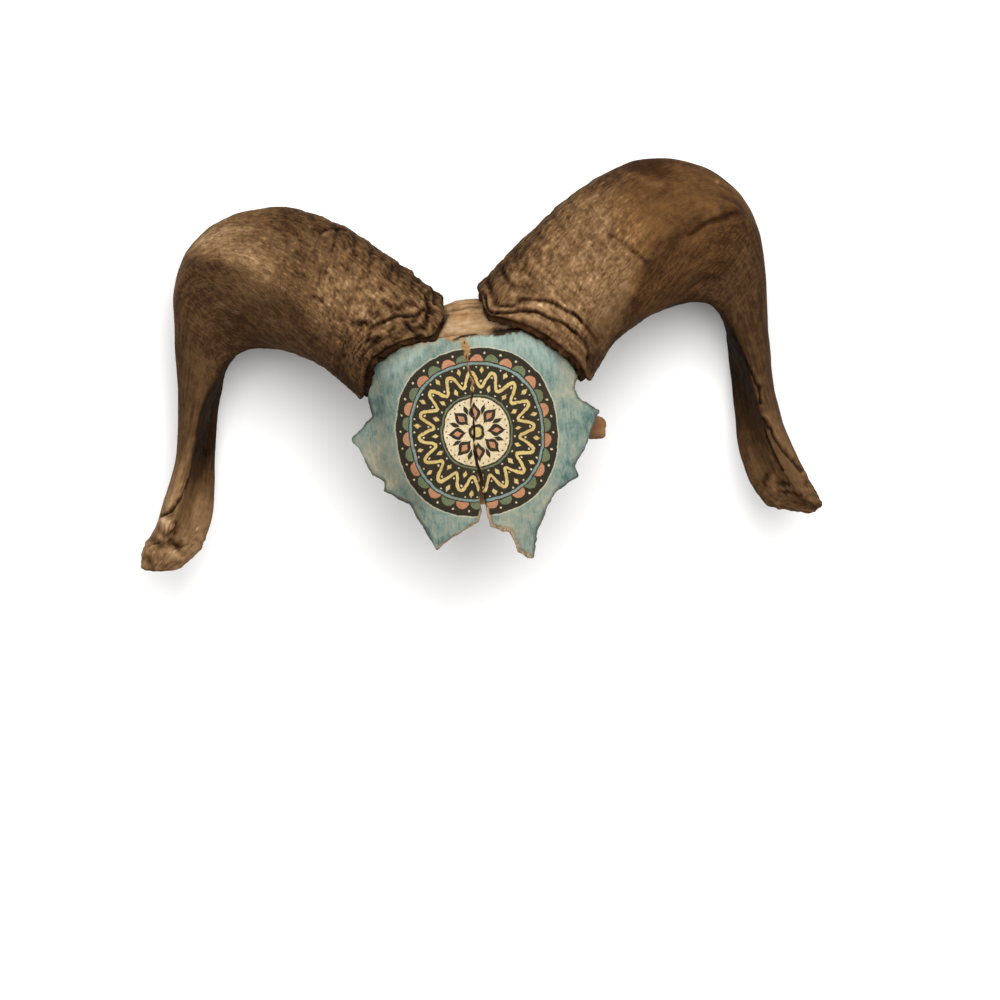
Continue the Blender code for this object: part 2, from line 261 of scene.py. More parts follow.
def surface_mesh(name: str, points: Array, quads: Array, triangles: Array | None = None) -> bpy.types.Mesh:
    """Put a surface into a mesh.

    Args:
        name: The mesh's name.
        points: Its points in metres.
        quads: Four point indices for each face.
        triangles: Three point indices for each further face.

    Returns:
        The mesh, shaded smooth, with its faces pointing outwards.
    """
    triangles = np.empty((0, 3), int) if triangles is None else triangles
    a, b, c, d = (points[quads[:, i]] for i in range(4))
    volume = np.einsum("ij,ij->", a, np.cross(b, c)) + np.einsum("ij,ij->", a, np.cross(c, d))
    if volume < 0:
        quads = quads[:, ::-1]
        triangles = triangles[:, ::-1]
    corners = np.concatenate((quads.ravel(), triangles.ravel()))
    sizes = np.concatenate((np.full(len(quads), 4), np.full(len(triangles), 3)))
    mesh = bpy.data.meshes.new(name)
    mesh.vertices.add(len(points))
    mesh.vertices.foreach_set("co", points.astype(np.float32).ravel())
    mesh.loops.add(len(corners))
    mesh.loops.foreach_set("vertex_index", corners.astype(np.int32))
    mesh.polygons.add(len(sizes))
    mesh.polygons.foreach_set("loop_start", (np.cumsum(sizes) - sizes).astype(np.int32))
    mesh.update(calc_edges=True)
    mesh.validate()
    mesh.shade_smooth()
    return mesh


def store(mesh: bpy.types.Mesh, name: str, values: Array) -> None:
    """Keep a value or a vector for each point of a mesh, for its material to read."""
    vector = values.ndim == 2
    layer = mesh.attributes.new(name, "FLOAT_VECTOR" if vector else "FLOAT", "POINT")
    layer.data.foreach_set("vector" if vector else "value", values.astype(np.float32).ravel())


def linked(name: str, data: bpy.types.ID) -> bpy.types.Object:
    """Add an object to the scene, with its mesh, light or camera."""
    thing = bpy.data.objects.new(name, data)
    bpy.context.scene.collection.objects.link(thing)
    return thing


def show(name: str, mesh: bpy.types.Mesh, material: Material) -> bpy.types.Object:
    """Make a piece from its mesh, in place of the CAD node of the same name."""
    mesh.materials.append(material)
    piece = linked(f"{name}_look", mesh)
    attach(piece, "root")
    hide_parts(name)
    LOG.info("%s: %d faces", piece.name, len(mesh.polygons))
    return piece


def operator_pair(operation: str) -> tuple[Callable, Callable]:
    """The two forms of an arithmetic operator on wires.

    Args:
        operation: What the Math node does.

    Returns:
        The method for a wire on the left of the operator, and the one for a wire on its right.
    """
    def plain(wire: "Wire", other: Any) -> "Wire":
        """The wire first."""
        return wire.shader.maths(operation, wire, other)

    def reflected(wire: "Wire", other: Any) -> "Wire":
        """The wire second."""
        return wire.shader.maths(operation, other, wire)

    return plain, reflected


class Wire:
    """A number on its way through a shader. Arithmetic on it adds Math nodes."""

    __add__, __radd__ = operator_pair("ADD")
    __sub__, __rsub__ = operator_pair("SUBTRACT")
    __mul__, __rmul__ = operator_pair("MULTIPLY")
    __truediv__, __rtruediv__ = operator_pair("DIVIDE")

    def __init__(self, shader: "Shader", socket: Socket) -> None:
        """Hold a socket and the shader that it belongs to."""
        self.shader = shader
        self.socket = socket

    def __abs__(self) -> "Wire":
        """This without its sign."""
        return self.shader.maths("ABSOLUTE", self)

    def rise(self, low: float, high: float) -> "Wire":
        """Go smoothly from 0 where this is low to 1 where it is high, or fall if low is the larger."""
        if low > high:
            return 1 - self.rise(high, low)
        node = self.shader.node("ShaderNodeMapRange", {"interpolation_type": "SMOOTHSTEP"},
                                {"Value": self, "From Min": low, "From Max": high})
        return Wire(self.shader, node.outputs["Result"])


class Shader:
    """A material's nodes, built up by expressions."""

    def __init__(self, name: str) -> None:
        """Start a material with a Principled shader."""
        self.material = bpy.data.materials.new(name)
        self.material.use_nodes = True
        self.nodes = self.material.node_tree.nodes
        self.links = self.material.node_tree.links
        self.surface = self.nodes["Principled BSDF"]

    def feed(self, socket: Socket, value: Any) -> None:
        """Link a wire or an output to a socket, or set a plain value on it."""
        if isinstance(value, Wire):
            self.links.new(value.socket, socket)
        elif isinstance(value, Socket):
            self.links.new(value, socket)
        elif isinstance(value, tuple) and len(socket.default_value) == 4:
            socket.default_value = (*value, 1.0)
        else:
            socket.default_value = value

    def node(self, kind: str, settings: dict[str, Any], inputs: dict[Any, Any]) -> bpy.types.Node:
        """Add a node.

        Args:
            kind: The node's type.
            settings: Its properties, which are set first. Stops fill a colour ramp.
            inputs: Values or links for its sockets, by name or number.

        Returns:
            The node.
        """
        node = self.nodes.new(kind)
        for key, value in settings.items():
            if key != "stops":
                setattr(node, key, value)
                continue
            ramp = node.color_ramp
            while len(ramp.elements) < len(value):
                ramp.elements.new(1.0)
            for element, (place, colour) in zip(ramp.elements, value):
                element.position = place
                element.color = (*colour, 1.0)
        for key, value in inputs.items():
            self.feed(node.inputs[key], value)
        return node

    def maths(self, operation: str, *values: Any) -> Wire:
        """Add a Math node on one, two or three values."""
        node = self.node("ShaderNodeMath", {"operation": operation}, dict(enumerate(values)))
        return Wire(self, node.outputs[0])

    def vectors(self, operation: str, first: Any, second: Any) -> Socket:
        """Add a Vector Math node on two vectors."""
        node = self.node("ShaderNodeVectorMath", {"operation": operation}, {0: first, 1: second})
        return node.outputs[0]

    def read(self, attribute: str) -> Wire:
        """A number that the mesh keeps for each point."""
        node = self.node("ShaderNodeAttribute", {"attribute_name": attribute}, {})
        return Wire(self, node.outputs["Fac"])

    def read_vector(self, attribute: str) -> Socket:
        """A vector that the mesh keeps for each point."""
        return self.node("ShaderNodeAttribute", {"attribute_name": attribute}, {}).outputs["Vector"]

    def place(self) -> Socket:
        """The place on the object, in metres."""
        return self.node("ShaderNodeTexCoord", {}, {}).outputs["Object"]

    def apart(self, vector: Socket) -> tuple[Wire, Wire, Wire]:
        """The three parts of a vector."""
        node = self.node("ShaderNodeSeparateXYZ", {}, {0: vector})
        return tuple(Wire(self, output) for output in node.outputs)

    def noise(self, vector: Any, scale: Any, detail: float = 3.0, rough: float = 0.55) -> Wire:
        """Cloudy noise around 0, between about -0.5 and 0.5, on a vector scaled by a number or by axis."""
        scaled = self.vectors("MULTIPLY", vector, scale if isinstance(scale, tuple) else (scale,) * 3)
        node = self.node("ShaderNodeTexNoise", {}, {"Vector": scaled, "Scale": 1.0, "Detail": detail,
                                                    "Roughness": rough})
        return Wire(self, node.outputs["Fac"]) - 0.5

    def ramp(self, value: Wire, stops: Sequence[tuple[float, Colour]]) -> Socket:
        """A colour read from a ramp."""
        return self.node("ShaderNodeValToRGB", {"stops": stops}, {"Fac": value}).outputs["Color"]

    def mix(self, share: Any, first: Any, second: Any, blend: str = "MIX") -> Socket:
        """Mix two colours: the first where the share is 0, the second where it is 1."""
        node = self.node("ShaderNodeMix", {"data_type": "RGBA", "blend_type": blend, "clamp_factor": True},
                         {0: share})
        self.feed(node.inputs[6], first)
        self.feed(node.inputs[7], second)
        return node.outputs[2]

    def finish(self, colour: Any, roughness: Any, height: Wire, depth: float,
               strength: float) -> Material:
        """Wire colour, roughness and relief into the surface.

        Args:
            colour: The base colour.
            roughness: The roughness, a number or a wire.
            height: The relief, where 1 stands for the whole depth.
            depth: The depth in metres.
            strength: The strength of the relief.

        Returns:
            The material.
        """
        bump = self.node("ShaderNodeBump", {}, {"Height": height, "Distance": depth, "Strength": strength})
        self.feed(self.surface.inputs["Base Color"], colour)
        self.feed(self.surface.inputs["Roughness"], roughness)
        self.links.new(bump.outputs["Normal"], self.surface.inputs["Normal"])
        return self.material


CORNERS = 8


class Face(IntEnum):
    """Faces and edges of a horn, as places on its closed outline of eight corners."""

    FRONT, FRONT_KEEL, CHEEK, INNER_KEEL = range(1, 5)


class HornLayer(IntEnum):
    """The layers of noise on a horn. The seed of each is this much past the horn's own."""

    BEND, SMALL_BEND, WARP, LUMPS, FLAKES, FIBRES, WRINKLES, RIM, TIP, FLAKY_EDGE = range(10)
    WANDER, CREASES, RIDGES, KNOBS, RIM_WAVES, COLLAR, ACROSS, UPWARD, CRUST = range(10, 19)


@dataclass(frozen=True)
class Mark:
    """A dent or a bump on a horn, along a line drawn as it is seen from above. How much lighter or darker it
    makes the horn is partly the horn's own colour and partly painted light and shade: painted shade in
    grooves, under folds and round knobs, painted highlights on lips and knobs, and painted lit and shaded
    patches.
    """

    path: Path
    half: float
    height: float
    light_and_shade: float = 0.0


@dataclass(frozen=True)
class HornFinish:
    """Dry horn: fibres and flecks from near black in the pits to straw on the crests."""

    brown: Stops = (
        (0.0, srgb(20, 11, 5)), (0.25, srgb(56, 38, 23)), (0.5, srgb(96, 71, 46)),
        (0.75, srgb(140, 110, 78)), (1.0, srgb(190, 163, 128)),
    )
    ochre: Stops = (
        (0.0, srgb(26, 14, 6)), (0.25, srgb(58, 37, 20)), (0.5, srgb(98, 69, 40)),
        (0.75, srgb(140, 105, 64)), (1.0, srgb(190, 158, 116)),
    )
    roughness: float = 0.74
    shine: float = 0.015
    depth: float = 0.0009
    relief: float = 0.8

    def material(self) -> Material:
        """Make the material. Its pattern follows the grain that the mesh keeps for each point."""
        shader = Shader("horn")
        grain = shader.read_vector("grain")
        flaky = shader.read("flaky")
        hatched = shader.read("hatched")
        place = shader.place()
        flecks = shader.noise(grain, (0.16, 0.62, 0.62), detail=2.0, rough=0.5).rise(-0.1, 0.12) - 0.5
        crumbs = shader.noise(grain, (0.34, 0.85, 0.85), detail=2.5)
        hairs = shader.noise(grain, (0.12, 1.1, 1.1))
        streaks = shader.noise(grain, (0.02, 0.2, 0.2), detail=4.0, rough=0.6)
        lines = shader.noise(shader.read_vector("hatch"), (0.05, 0.6, 0.3))
        clouds = shader.noise(place, 30.0)
        mottle = shader.noise(place, 150.0, detail=4.0, rough=0.6)
        cracks = abs(shader.noise(grain, (0.1, 0.03, 0.03))).rise(0.03, 0.0)
        # Painted shade in the darker pits, and painted glints on the lighter crumbs.
        pits = crumbs.rise(-0.1, -0.2)
        glints = crumbs.rise(0.1, 0.22)
        # The faces, the marks and the relief bring painted light and shade: highlights on crests, and shade
        # in pits and hollows.
        value = shader.read("tone") + shader.read("relief") * 0.5 + streaks * 0.14
        value = value + clouds * (0.24 - hatched * 0.06)
        value = value + (flecks * 0.09 + crumbs * 0.26 + glints * 0.1 - pits * 0.05 - cracks * 0.05) * flaky
        value = value + hairs * 0.16 + mottle * (0.28 - hatched * 0.1) + crumbs * (0.12 + hatched * 0.2)
        value = value + lines * hatched * 0.34
        warm = shader.read("warm")
        colour = shader.mix(warm, shader.ramp(value, self.brown), shader.ramp(value, self.ochre))
        height = 0.5 + (flecks * 0.25 + crumbs * 0.6 - cracks * 0.2) * flaky + hairs * 0.4 + mottle * 0.6
        height = height + (lines * 0.6 + crumbs * 0.4) * hatched
        roughness = self.roughness + flaky * 0.08 - streaks * 0.12
        shader.surface.inputs["Specular IOR Level"].default_value = self.shine
        return shader.finish(colour, roughness, height, self.depth, self.relief)


@dataclass(frozen=True)
class SheathSizes:
    """Sizes that both horn sheaths share, in millimetres. Pairs of distances say where something fades."""

    lips: tuple[Place, ...] = ((3.0, 1.8, 3.4), (15.0, 1.0, 4.0), (27.0, 0.9, 4.5))
    groove_depth: float = 0.5
    groove_half: float = 1.1
    ridge_pitch: float = 16.0
    ridge_height: float = 2.2
    ridges_from: Span = (14.0, 30.0)
    ridges_weaken: Span = (68.0, 125.0)
    ridges_until: Span = (150.0, 190.0)
    wrinkled_until: Span = (20.0, 75.0)
    crusty_until: Span = (45.0, 120.0)
    worn_tip: float = 42.0
    tip_rounding: float = 5.0
    tip_chips: float = 1.3
    rim_reach: float = 46.0
    rim_jags: float = 2.4
    grain_radius: float = 46.0
    mark_wobble: float = 1.1
    keel_softness: tuple[tuple[Face, float], ...] = ((Face.FRONT_KEEL, 0.6), (Face.INNER_KEEL, 0.35))
    collar: tuple[Span, ...] = (
        (0.9, -0.9), (2.2, -1.1), (3.3, -0.2), (3.9, 0.8), (4.4, -1.7), (5.0, -3.7),
        (5.9, -4.8), (6.9, -3.9), (7.5, 0.5), (8.3, 4.0), (9.0, 8.0), (14.0, 9.5), (26.0, 10.0),
    )
    around: int = 216
    along: int = 424
    tip_rings: int = 9


OUTLINES = {
    0.00: ((1, -0.05), (0.55, 0.85), (-0.55, 0.95), (-0.98, 0.35),
           (-0.9, -0.5), (-0.45, -0.95), (0.25, -1), (0.85, -0.7)),
    0.30: ((0.95, -0.4), (0.9, 0.45), (-0.1, 1), (-0.8, 0.62),
           (-1, -0.15), (-0.7, -0.8), (0, -1), (0.65, -0.85)),
    0.52: ((0.6, -0.85), (1, -0.2), (0.85, 0.7), (0, 1),
           (-0.95, 0.65), (-0.95, -0.2), (-0.6, -0.85), (0, -1)),
    0.72: ((0.25, -0.95), (0.85, -0.6), (1, 0.1), (0.6, 0.75),
           (-0.2, 1), (-0.6, 0.15), (-1, -0.3), (-0.5, -0.95)),
    1.00: ((-0.3, -0.9), (0.5, -0.85), (1, -0.1), (0.9, 0.6),
           (0.5, 1), (0, 0.3), (-0.75, 0.45), (-1, -0.3)),
}


@dataclass(frozen=True)
class BasePlane:
    """The flat base of a horn, seen from above."""

    outer: Point
    inner: Point
    rim: Path
    top: float = 2.0
    bottom: float = -90.0

    @property
    def half(self) -> float:
        """Half the width of the base."""
        return 0.5 * math.dist(self.outer, self.inner)

    @property
    def middle(self) -> Point:
        """The middle of the base."""
        return 0.5 * (self.outer[0] + self.inner[0]), 0.5 * (self.outer[1] + self.inner[1])

    @property
    def along(self) -> Point:
        """The direction from the inner edge of the base to its outer edge."""
        run_x, run_y = self.outer[0] - self.inner[0], self.outer[1] - self.inner[1]
        return run_x / (2 * self.half), run_y / (2 * self.half)

    @property
    def away(self) -> Point:
        """The direction from the skull into the horn, square to the base."""
        (along_x, along_y), (middle_x, middle_y) = self.along, self.middle
        facing = math.copysign(1.0, along_x * middle_y - along_y * middle_x)
        return -along_y * facing, along_x * facing

    def spans(self, x: Array, y: Array) -> tuple[Array, Array]:
        """How far points lie along the base, and how far out from it.

        Args:
            x, y: Drawn points.

        Returns:
            The share along the base, from -1 at the inner edge to 1 at the outer edge, and the
            distance from the base towards the horn.
        """
        dx, dy = x - self.middle[0], y - self.middle[1]
        share = (dx * self.along[0] + dy * self.along[1]) / self.half
        return share, dx * self.away[0] + dy * self.away[1]

    def level(self, z: Array) -> Array:
        """How high points lie on the base, from -1 at its bottom to 1 at its top."""
        return (z - 0.5 * (self.top + self.bottom)) / (0.5 * (self.top - self.bottom))

    def rim_shift(self, share: Array, level: Array) -> Array:
        """How far the wavy front rim lies from the base, from its share along and its level from -1 to 1."""
        shares, shifts = zip(*self.rim)
        clipped = np.clip(share, shares[0], shares[-1])
        return through(shares, shifts, clipped) * fade(-0.3, 0.35, level)


@dataclass(frozen=True)
class FaceToneAndShade:
    """How light each face of a horn is, at shares of its length: the horn's own colour with painted light and
    shade, lighter on the front, darker on the outer edge and the cheek, and darkest in the hollow as painted
    shade.
    """

    places: tuple[float, ...]
    outer: tuple[float, ...]
    front: tuple[float, ...]
    cheek: tuple[float, ...]
    hollow: tuple[float, ...]

    def at(self, share: Array, corner: Array) -> Array:
        """Blend the faces round the outline.

        Args:
            share: The place along the horn, from 0 to 1.
            corner: The place round the outline, from 0 to 8.

        Returns:
            How light the horn is there: its own colour with painted light and shade.
        """
        faces = (self.outer, self.front, self.cheek, self.hollow)
        outer, front, cheek, hollow = (np.interp(share, self.places, face) for face in faces)
        stations = (
            (0.0, outer), (0.9, front), (1.7, front), (2.25, cheek), (3.6, cheek),
            (4.25, hollow), (6.3, hollow), (7.2, outer), (CORNERS, outer),
        )
        total = np.zeros(np.broadcast(share, corner).shape)
        for (low, tone), (high, following) in zip(stations, stations[1:]):
            here = (corner >= low) & (corner < high)
            total += here * (tone + (following - tone) * fade(low, high, corner))
        return total


def lengthened(rows: Array, before: int, after: int) -> Array:
    """Repeat the first row for the base and the last row for the tip."""
    return np.concatenate((np.repeat(rows[:1], before, axis=0), rows, np.repeat(rows[-1:], after, axis=0)))


def with_poles(rows: Array) -> Array:
    """The points of all rows in one list, and then the means of the first and of the last row."""
    return np.concatenate((rows.reshape(-1, 3), rows[[0, -1]].mean(axis=1)))


@dataclass(frozen=True)
class Rings:
    """The plain rings of a horn and what is known of their points.

    The points and the grain are in millimetres. An outline is a ring's own form, fitted to the square
    from -1 to 1. A corner is a place round the outline, and along is each ring's distance from the base.
    """

    points: Array
    outline: Array
    normals: Array
    grain: Array
    along: Array
    corner: Array

    @property
    def share(self) -> Array:
        """The place of each ring along the horn, from 0 to 1."""
        return (self.along / self.along[-1])[:, None]

    @property
    def on_cheek(self) -> Array:
        """1 on the cheek face, 0 elsewhere."""
        return fade(1.9, 2.5, self.corner) * fall(3.9, 4.3, self.corner)

    @property
    def in_hollow(self) -> Array:
        """1 on the hollow inner faces, 0 elsewhere."""
        return fade(3.9, 4.4, self.corner) * fall(6.4, 6.9, self.corner)


@dataclass(frozen=True)
class HornSheath:
    """One horn: a sheath of dry horn with a wavy rim round a hollow, that curls down and forward."""

    name: str
    base: BasePlane
    cuts: tuple[tuple[float, ...], ...]
    tones: FaceToneAndShade
    front: Path
    flaky_until: Span
    warm: tuple[Place, ...]
    marks: tuple[Mark, ...]
    seed: int
    rough_base: float
    collar_tone: float
    collar_warm: float
    sizes: SheathSizes = SheathSizes()

    def noise(self, layer: HornLayer) -> Noise:
        """The noise of a layer."""
        return Noise(self.seed + layer)

    def outline(self, share: Array, corner: Array) -> Array:
        """The closed outline of each ring, fitted to the square from -1 to 1.

        Args:
            share: The places of the rings, from 0 to 1.
            corner: The places of the points round the outline, from 0 to 8.

        Returns:
            An array of rings, points and two coordinates. Each outline runs through its eight
            corners by cubic pieces, and the keels are sharper because their tangents are shorter.
        """
        turned = through(list(OUTLINES), list(OUTLINES.values()), share)
        tangents = 0.5 * (np.roll(turned, -1, axis=1) - np.roll(turned, 1, axis=1))
        for keel, softness in self.sizes.keel_softness:
            tangents[:, keel] *= softness
        first = corner.astype(int)
        second = (first + 1) % CORNERS
        part = (corner - first)[None, :, None]
        line = cubic(part, turned[:, first], tangents[:, first], turned[:, second], tangents[:, second])
        low = line.min(axis=1, keepdims=True)
        high = line.max(axis=1, keepdims=True)
        return 2 * (line - low) / (high - low) - 1

    def rings(self) -> Rings:
        """The plain rings. A point is the cut's centre + across * half its width + up * half its height."""
        cuts = np.asarray(self.cuts, float)
        middles = 0.5 * (cuts[:, 0:2] + cuts[:, 2:4])
        steps = np.linalg.norm(np.diff(middles, axis=0), axis=1)
        knots = np.concatenate(([0.0], np.cumsum(steps)))
        along = np.linspace(0, float(knots[-1]), self.sizes.along)
        corner = np.arange(self.sizes.around) * float(CORNERS) / self.sizes.around
        line = through(knots, cuts, along)
        outline = self.outline(along / along[-1], corner)
        outer, inner, top, bottom = line[:, None, 0:2], line[:, None, 2:4], line[:, 4:5], line[:, 5:6]
        points = np.empty(outline.shape[:2] + (3,))
        points[..., :2] = 0.5 * (outer + inner) + outline[..., :1] * 0.5 * (outer - inner)
        points[..., 2] = 0.5 * (top + bottom) + outline[..., 1] * 0.5 * (top - bottom)
        return Rings(points, outline, self.normals(points), self.grain(along, corner), along, corner[None, :])

    def grain(self, along: Array, corner: Array) -> Array:
        """The grain of the horn: distance along it, and a circle round it that closes without a seam."""
        angle = corner * TURN / CORNERS
        grain = np.empty((len(along), len(corner), 3))
        grain[..., 0] = along[:, None]
        grain[..., 1] = self.sizes.grain_radius * np.cos(angle)
        grain[..., 2] = self.sizes.grain_radius * np.sin(angle)
        return grain

    @staticmethod
    def normals(points: Array) -> Array:
        """Outward directions: the cross product of the steps round and along, made unit length."""
        along = np.gradient(points, axis=0)
        around = 0.5 * (np.roll(points, -1, axis=1) - np.roll(points, 1, axis=1))
        normal = np.cross(around, along)
        normal /= np.linalg.norm(normal, axis=-1, keepdims=True)
        out = points - points.mean(axis=1, keepdims=True)
        return normal * np.sign(np.einsum("ijk,ijk->", normal, out))

    def folds(self, rings: Rings) -> Array:
        """Rolled lips at the rim and growth rings further on.

        Returns:
            The height of each point: a bell for each lip, with a sharp groove after it, and a wave
            of the ridge pitch that is bent by noise.
        """
        sizes, grain = self.sizes, rings.grain
        bend = self.noise(HornLayer.BEND).at(grain, (60, 34, 34)) * 4.5
        bend = bend + self.noise(HornLayer.SMALL_BEND).at(grain, (26, 12, 12)) * 1.6
        s = rings.along[:, None] + bend * fade(0, 12, rings.along)[:, None]
        lips = np.zeros(s.shape)
        for middle, rise, half in sizes.lips:
            lips += rise * bell(s - middle, half)
            lips -= sizes.groove_depth * bell(s - middle - 1.55 * half, sizes.groove_half)
        uneven = s + self.noise(HornLayer.RIDGES).at(grain, (34, 50, 50)) * 7
        wave = np.abs(np.sin(math.pi * uneven / sizes.ridge_pitch)) ** 0.6 - 0.65
        ridged = fade(*sizes.ridges_from, s) * (1 - 0.85 * fade(*sizes.ridges_weaken, s))
        ridged = ridged * fall(*sizes.ridges_until, s)
        flat = fade(0.8, 1.4, rings.corner) * fall(2.6, 3.4, rings.corner)
        ridges = ridged * sizes.ridge_height * wave * (1 - 0.72 * flat) * (0.35 + 0.65 * self.rough_base)
        front = np.clip(rings.outline[..., 1] + 0.6, 0, 1)
        cheek = fade(Face.FRONT_KEEL - 0.3, Face.CHEEK, rings.corner)
        return (lips * (1 - 0.4 * flat * self.rough_base) + ridges) * front * (1 - 0.75 * cheek)

    def flaky(self, rings: Rings) -> Array:
        """How flaky each point is, from 0 to 1: less on the cheek, in the hollow and past the bend."""
        edge = self.noise(HornLayer.FLAKY_EDGE).at(rings.grain, (24, 16, 16)) * 5 + rings.along[:, None]
        smooth_end = 0.8 * fade(*self.flaky_until, edge)
        return (1 - 0.8 * rings.on_cheek) * (1 - 0.6 * rings.in_hollow) * (1 - smooth_end)

    def texture(self, rings: Rings) -> tuple[Array, Array]:
        """Lumps, flakes, fibres, wrinkles and crust.

        Returns:
            The height of each point, and how flaky or worn it looks, from 0 to a little over 1.
        """
        grain, along, sizes = rings.grain, rings.along, self.sizes
        flaky = self.flaky(rings)
        base = fall(*sizes.wrinkled_until, along)[:, None]
        rough = self.rough_base * base * (1 - rings.in_hollow)
        worn = fade(along[-1] - sizes.worn_tip, along[-1] - 0.4 * sizes.worn_tip, along)[:, None]
        wrinkled = base * (1 - 0.5 * rings.on_cheek) * (0.25 + 0.7 * rough)
        crusty = fall(*sizes.crusty_until, along)[:, None] * (0.45 + 0.55 * self.rough_base)
        crusty = crusty * (1 - 0.6 * rings.on_cheek) * (1 - rings.in_hollow)

        warp = self.noise(HornLayer.WARP).at(grain, (18, 8, 8))[..., None]
        bent = grain + warp * np.array((3.0, 1.6, -1.6))
        lumps = self.noise(HornLayer.LUMPS).layers(grain, (24, 13, 13), 2)
        flakes = self.noise(HornLayer.FLAKES).layers(bent, (8.0, 3.6, 3.6), 2)
        fibres = self.noise(HornLayer.FIBRES).layers(grain, (30, 4.5, 4.5), 2)
        wrinkles = self.noise(HornLayer.WRINKLES).layers(bent, (3.2, 15, 15), 2)
        creases = bell(self.noise(HornLayer.CREASES).at(bent, (10, 30, 30)), 0.2)
        knobs = self.noise(HornLayer.KNOBS).layers(rings.points, 6.5, 3)
        crust = self.noise(HornLayer.CRUST).layers(bent, (3.6, 3.0, 3.0), 2)
        crumbling = np.maximum(crust - 0.25, 0) * 0.8 - np.maximum(-crust - 0.15, 0) * 1.7

        height = lumps * 0.6 + flakes * (0.32 * flaky + 0.3 * rough) + fibres * 0.16
        height = height + (wrinkles * 0.55 - creases * 0.8) * wrinkled - creases * 0.3 * flaky * base
        height = height + knobs * 0.9 * worn + crumbling * crusty
        return height, flaky * (1 + 0.2 * rough) + 0.4 * worn

    def marked(self, rings: Rings) -> tuple[Array, Array]:
        """Add up the marks.

        Returns:
            Their height, and how much lighter or darker each makes the horn, partly its own colour and partly
            painted light and shade; each is a bell across the mark's line, which wobbles a little.
        """
        x, y = DRAWING.as_seen(rings.points)
        x = x + self.noise(HornLayer.ACROSS).layers(rings.grain, 9.0, 2) * self.sizes.mark_wobble
        y = y + self.noise(HornLayer.UPWARD).layers(rings.grain, 9.0, 2) * self.sizes.mark_wobble
        facing_up = fade(0.05, 0.4, rings.normals[..., 2])
        height = np.zeros(x.shape)
        light = np.zeros(x.shape)
        for mark in self.marks:
            share = bell(line_distance(x, y, mark.path), mark.half) * facing_up
            height += mark.height * share
            light += mark.light_and_shade * share
        return height, light

    def rim_shifts(self, rings: Rings) -> Array:
        """How far the points near the base slide along the horn, so that the rim is wavy."""
        shift = self.base.rim_shift(rings.outline[0, :, 0], rings.outline[0, :, 1])
        ease = fall(0, self.sizes.rim_reach, rings.along)
        return ease[:, None, None] * shift[None, :, None] * np.array((*self.base.away, 0.0))

    def base_rows(self, rim: Array) -> Array:
        """The dark collar and the hollow inside the rim, from the inmost row out to the rim.

        Args:
            rim: The points of the first ring.

        Returns:
            Rows of points. Each lies inward from the rim by one length and along the horn by another.
        """
        away = np.array((*self.base.away, 0.0))
        inward = rim.mean(axis=0) - rim
        inward /= np.linalg.norm(inward, axis=1, keepdims=True)
        ragged = self.noise(HornLayer.RIM).layers(rim, 5.0, 2)
        ragged = ragged + self.noise(HornLayer.RIM_WAVES).at(rim, 15.0) * 0.9
        rows = []
        for inside, along in self.sizes.collar:
            on_edge = along < -1.2 and inside > 4
            jagged = ragged[:, None] * away * (self.sizes.rim_jags if on_edge else 0.3)
            rows.append(rim + inward * inside + away * along + jagged)
        return np.array(rows[::-1])

    def tip_rows(self, points: Array) -> Array:
        """The worn end: rings that shrink as the cosine of a quarter turn while they move on as its sine."""
        last = points[-1]
        middle = last.mean(axis=0)
        onward = middle - points[-6].mean(axis=0)
        onward /= np.linalg.norm(onward)
        angles = np.linspace(0, math.pi / 2, self.sizes.tip_rings + 1)[1:-1]
        size = np.cos(angles)[:, None, None]
        out = np.sin(angles)[:, None, None] * self.sizes.tip_rounding
        rows = middle + (last - middle) * size + onward * out
        chips = self.noise(HornLayer.TIP).layers(rows, 5.0, 3)
        return rows + chips[..., None] * onward * self.sizes.tip_chips

    def tone(self, rings: Rings, front_gap: Array, shown: Array) -> Array:
        """How light the horn is, before its marks: its own colour with the painted light and shade of its
        faces.

        Args:
            rings: The plain rings.
            front_gap: Distances from the outline of the front face as it is seen, below 0 inside.
            shown: Where the horn faces up.

        Returns:
            The tones of the faces. Up to the bend, the drawn line parts the front from the cheek.
        """
        off_front = fade(-3, 4, front_gap)
        cheek_corner = np.clip(rings.corner, Face.CHEEK - 0.4, Face.INNER_KEEL)
        # Painted light and shade: each face is lit or shaded as if the light fell from above, and the hollow
        # is darkest.
        plain = self.tones.at(rings.share, rings.corner)
        front = self.tones.at(rings.share, np.minimum(rings.corner, Face.FRONT))
        cheek = self.tones.at(rings.share, cheek_corner)
        parted = front * (1 - off_front) + cheek * off_front
        seen = np.where(rings.corner < Face.INNER_KEEL + 1, parted, plain)
        before_bend = shown * fall(0.42, 0.5, rings.share)
        return plain * (1 - before_bend) + seen * before_bend

    @staticmethod
    def crest_shading(relief: Array) -> Array:
        """How far each point stands above its surroundings, which paints highlights on the crests and shade
        in the pits.
        """
        fine = np.clip(relief - smoothed(relief, 7), -1.2, 0.8) * 0.4
        return fine + np.clip(smoothed(relief, 3) - smoothed(relief, 21), -2, 2) * 0.06

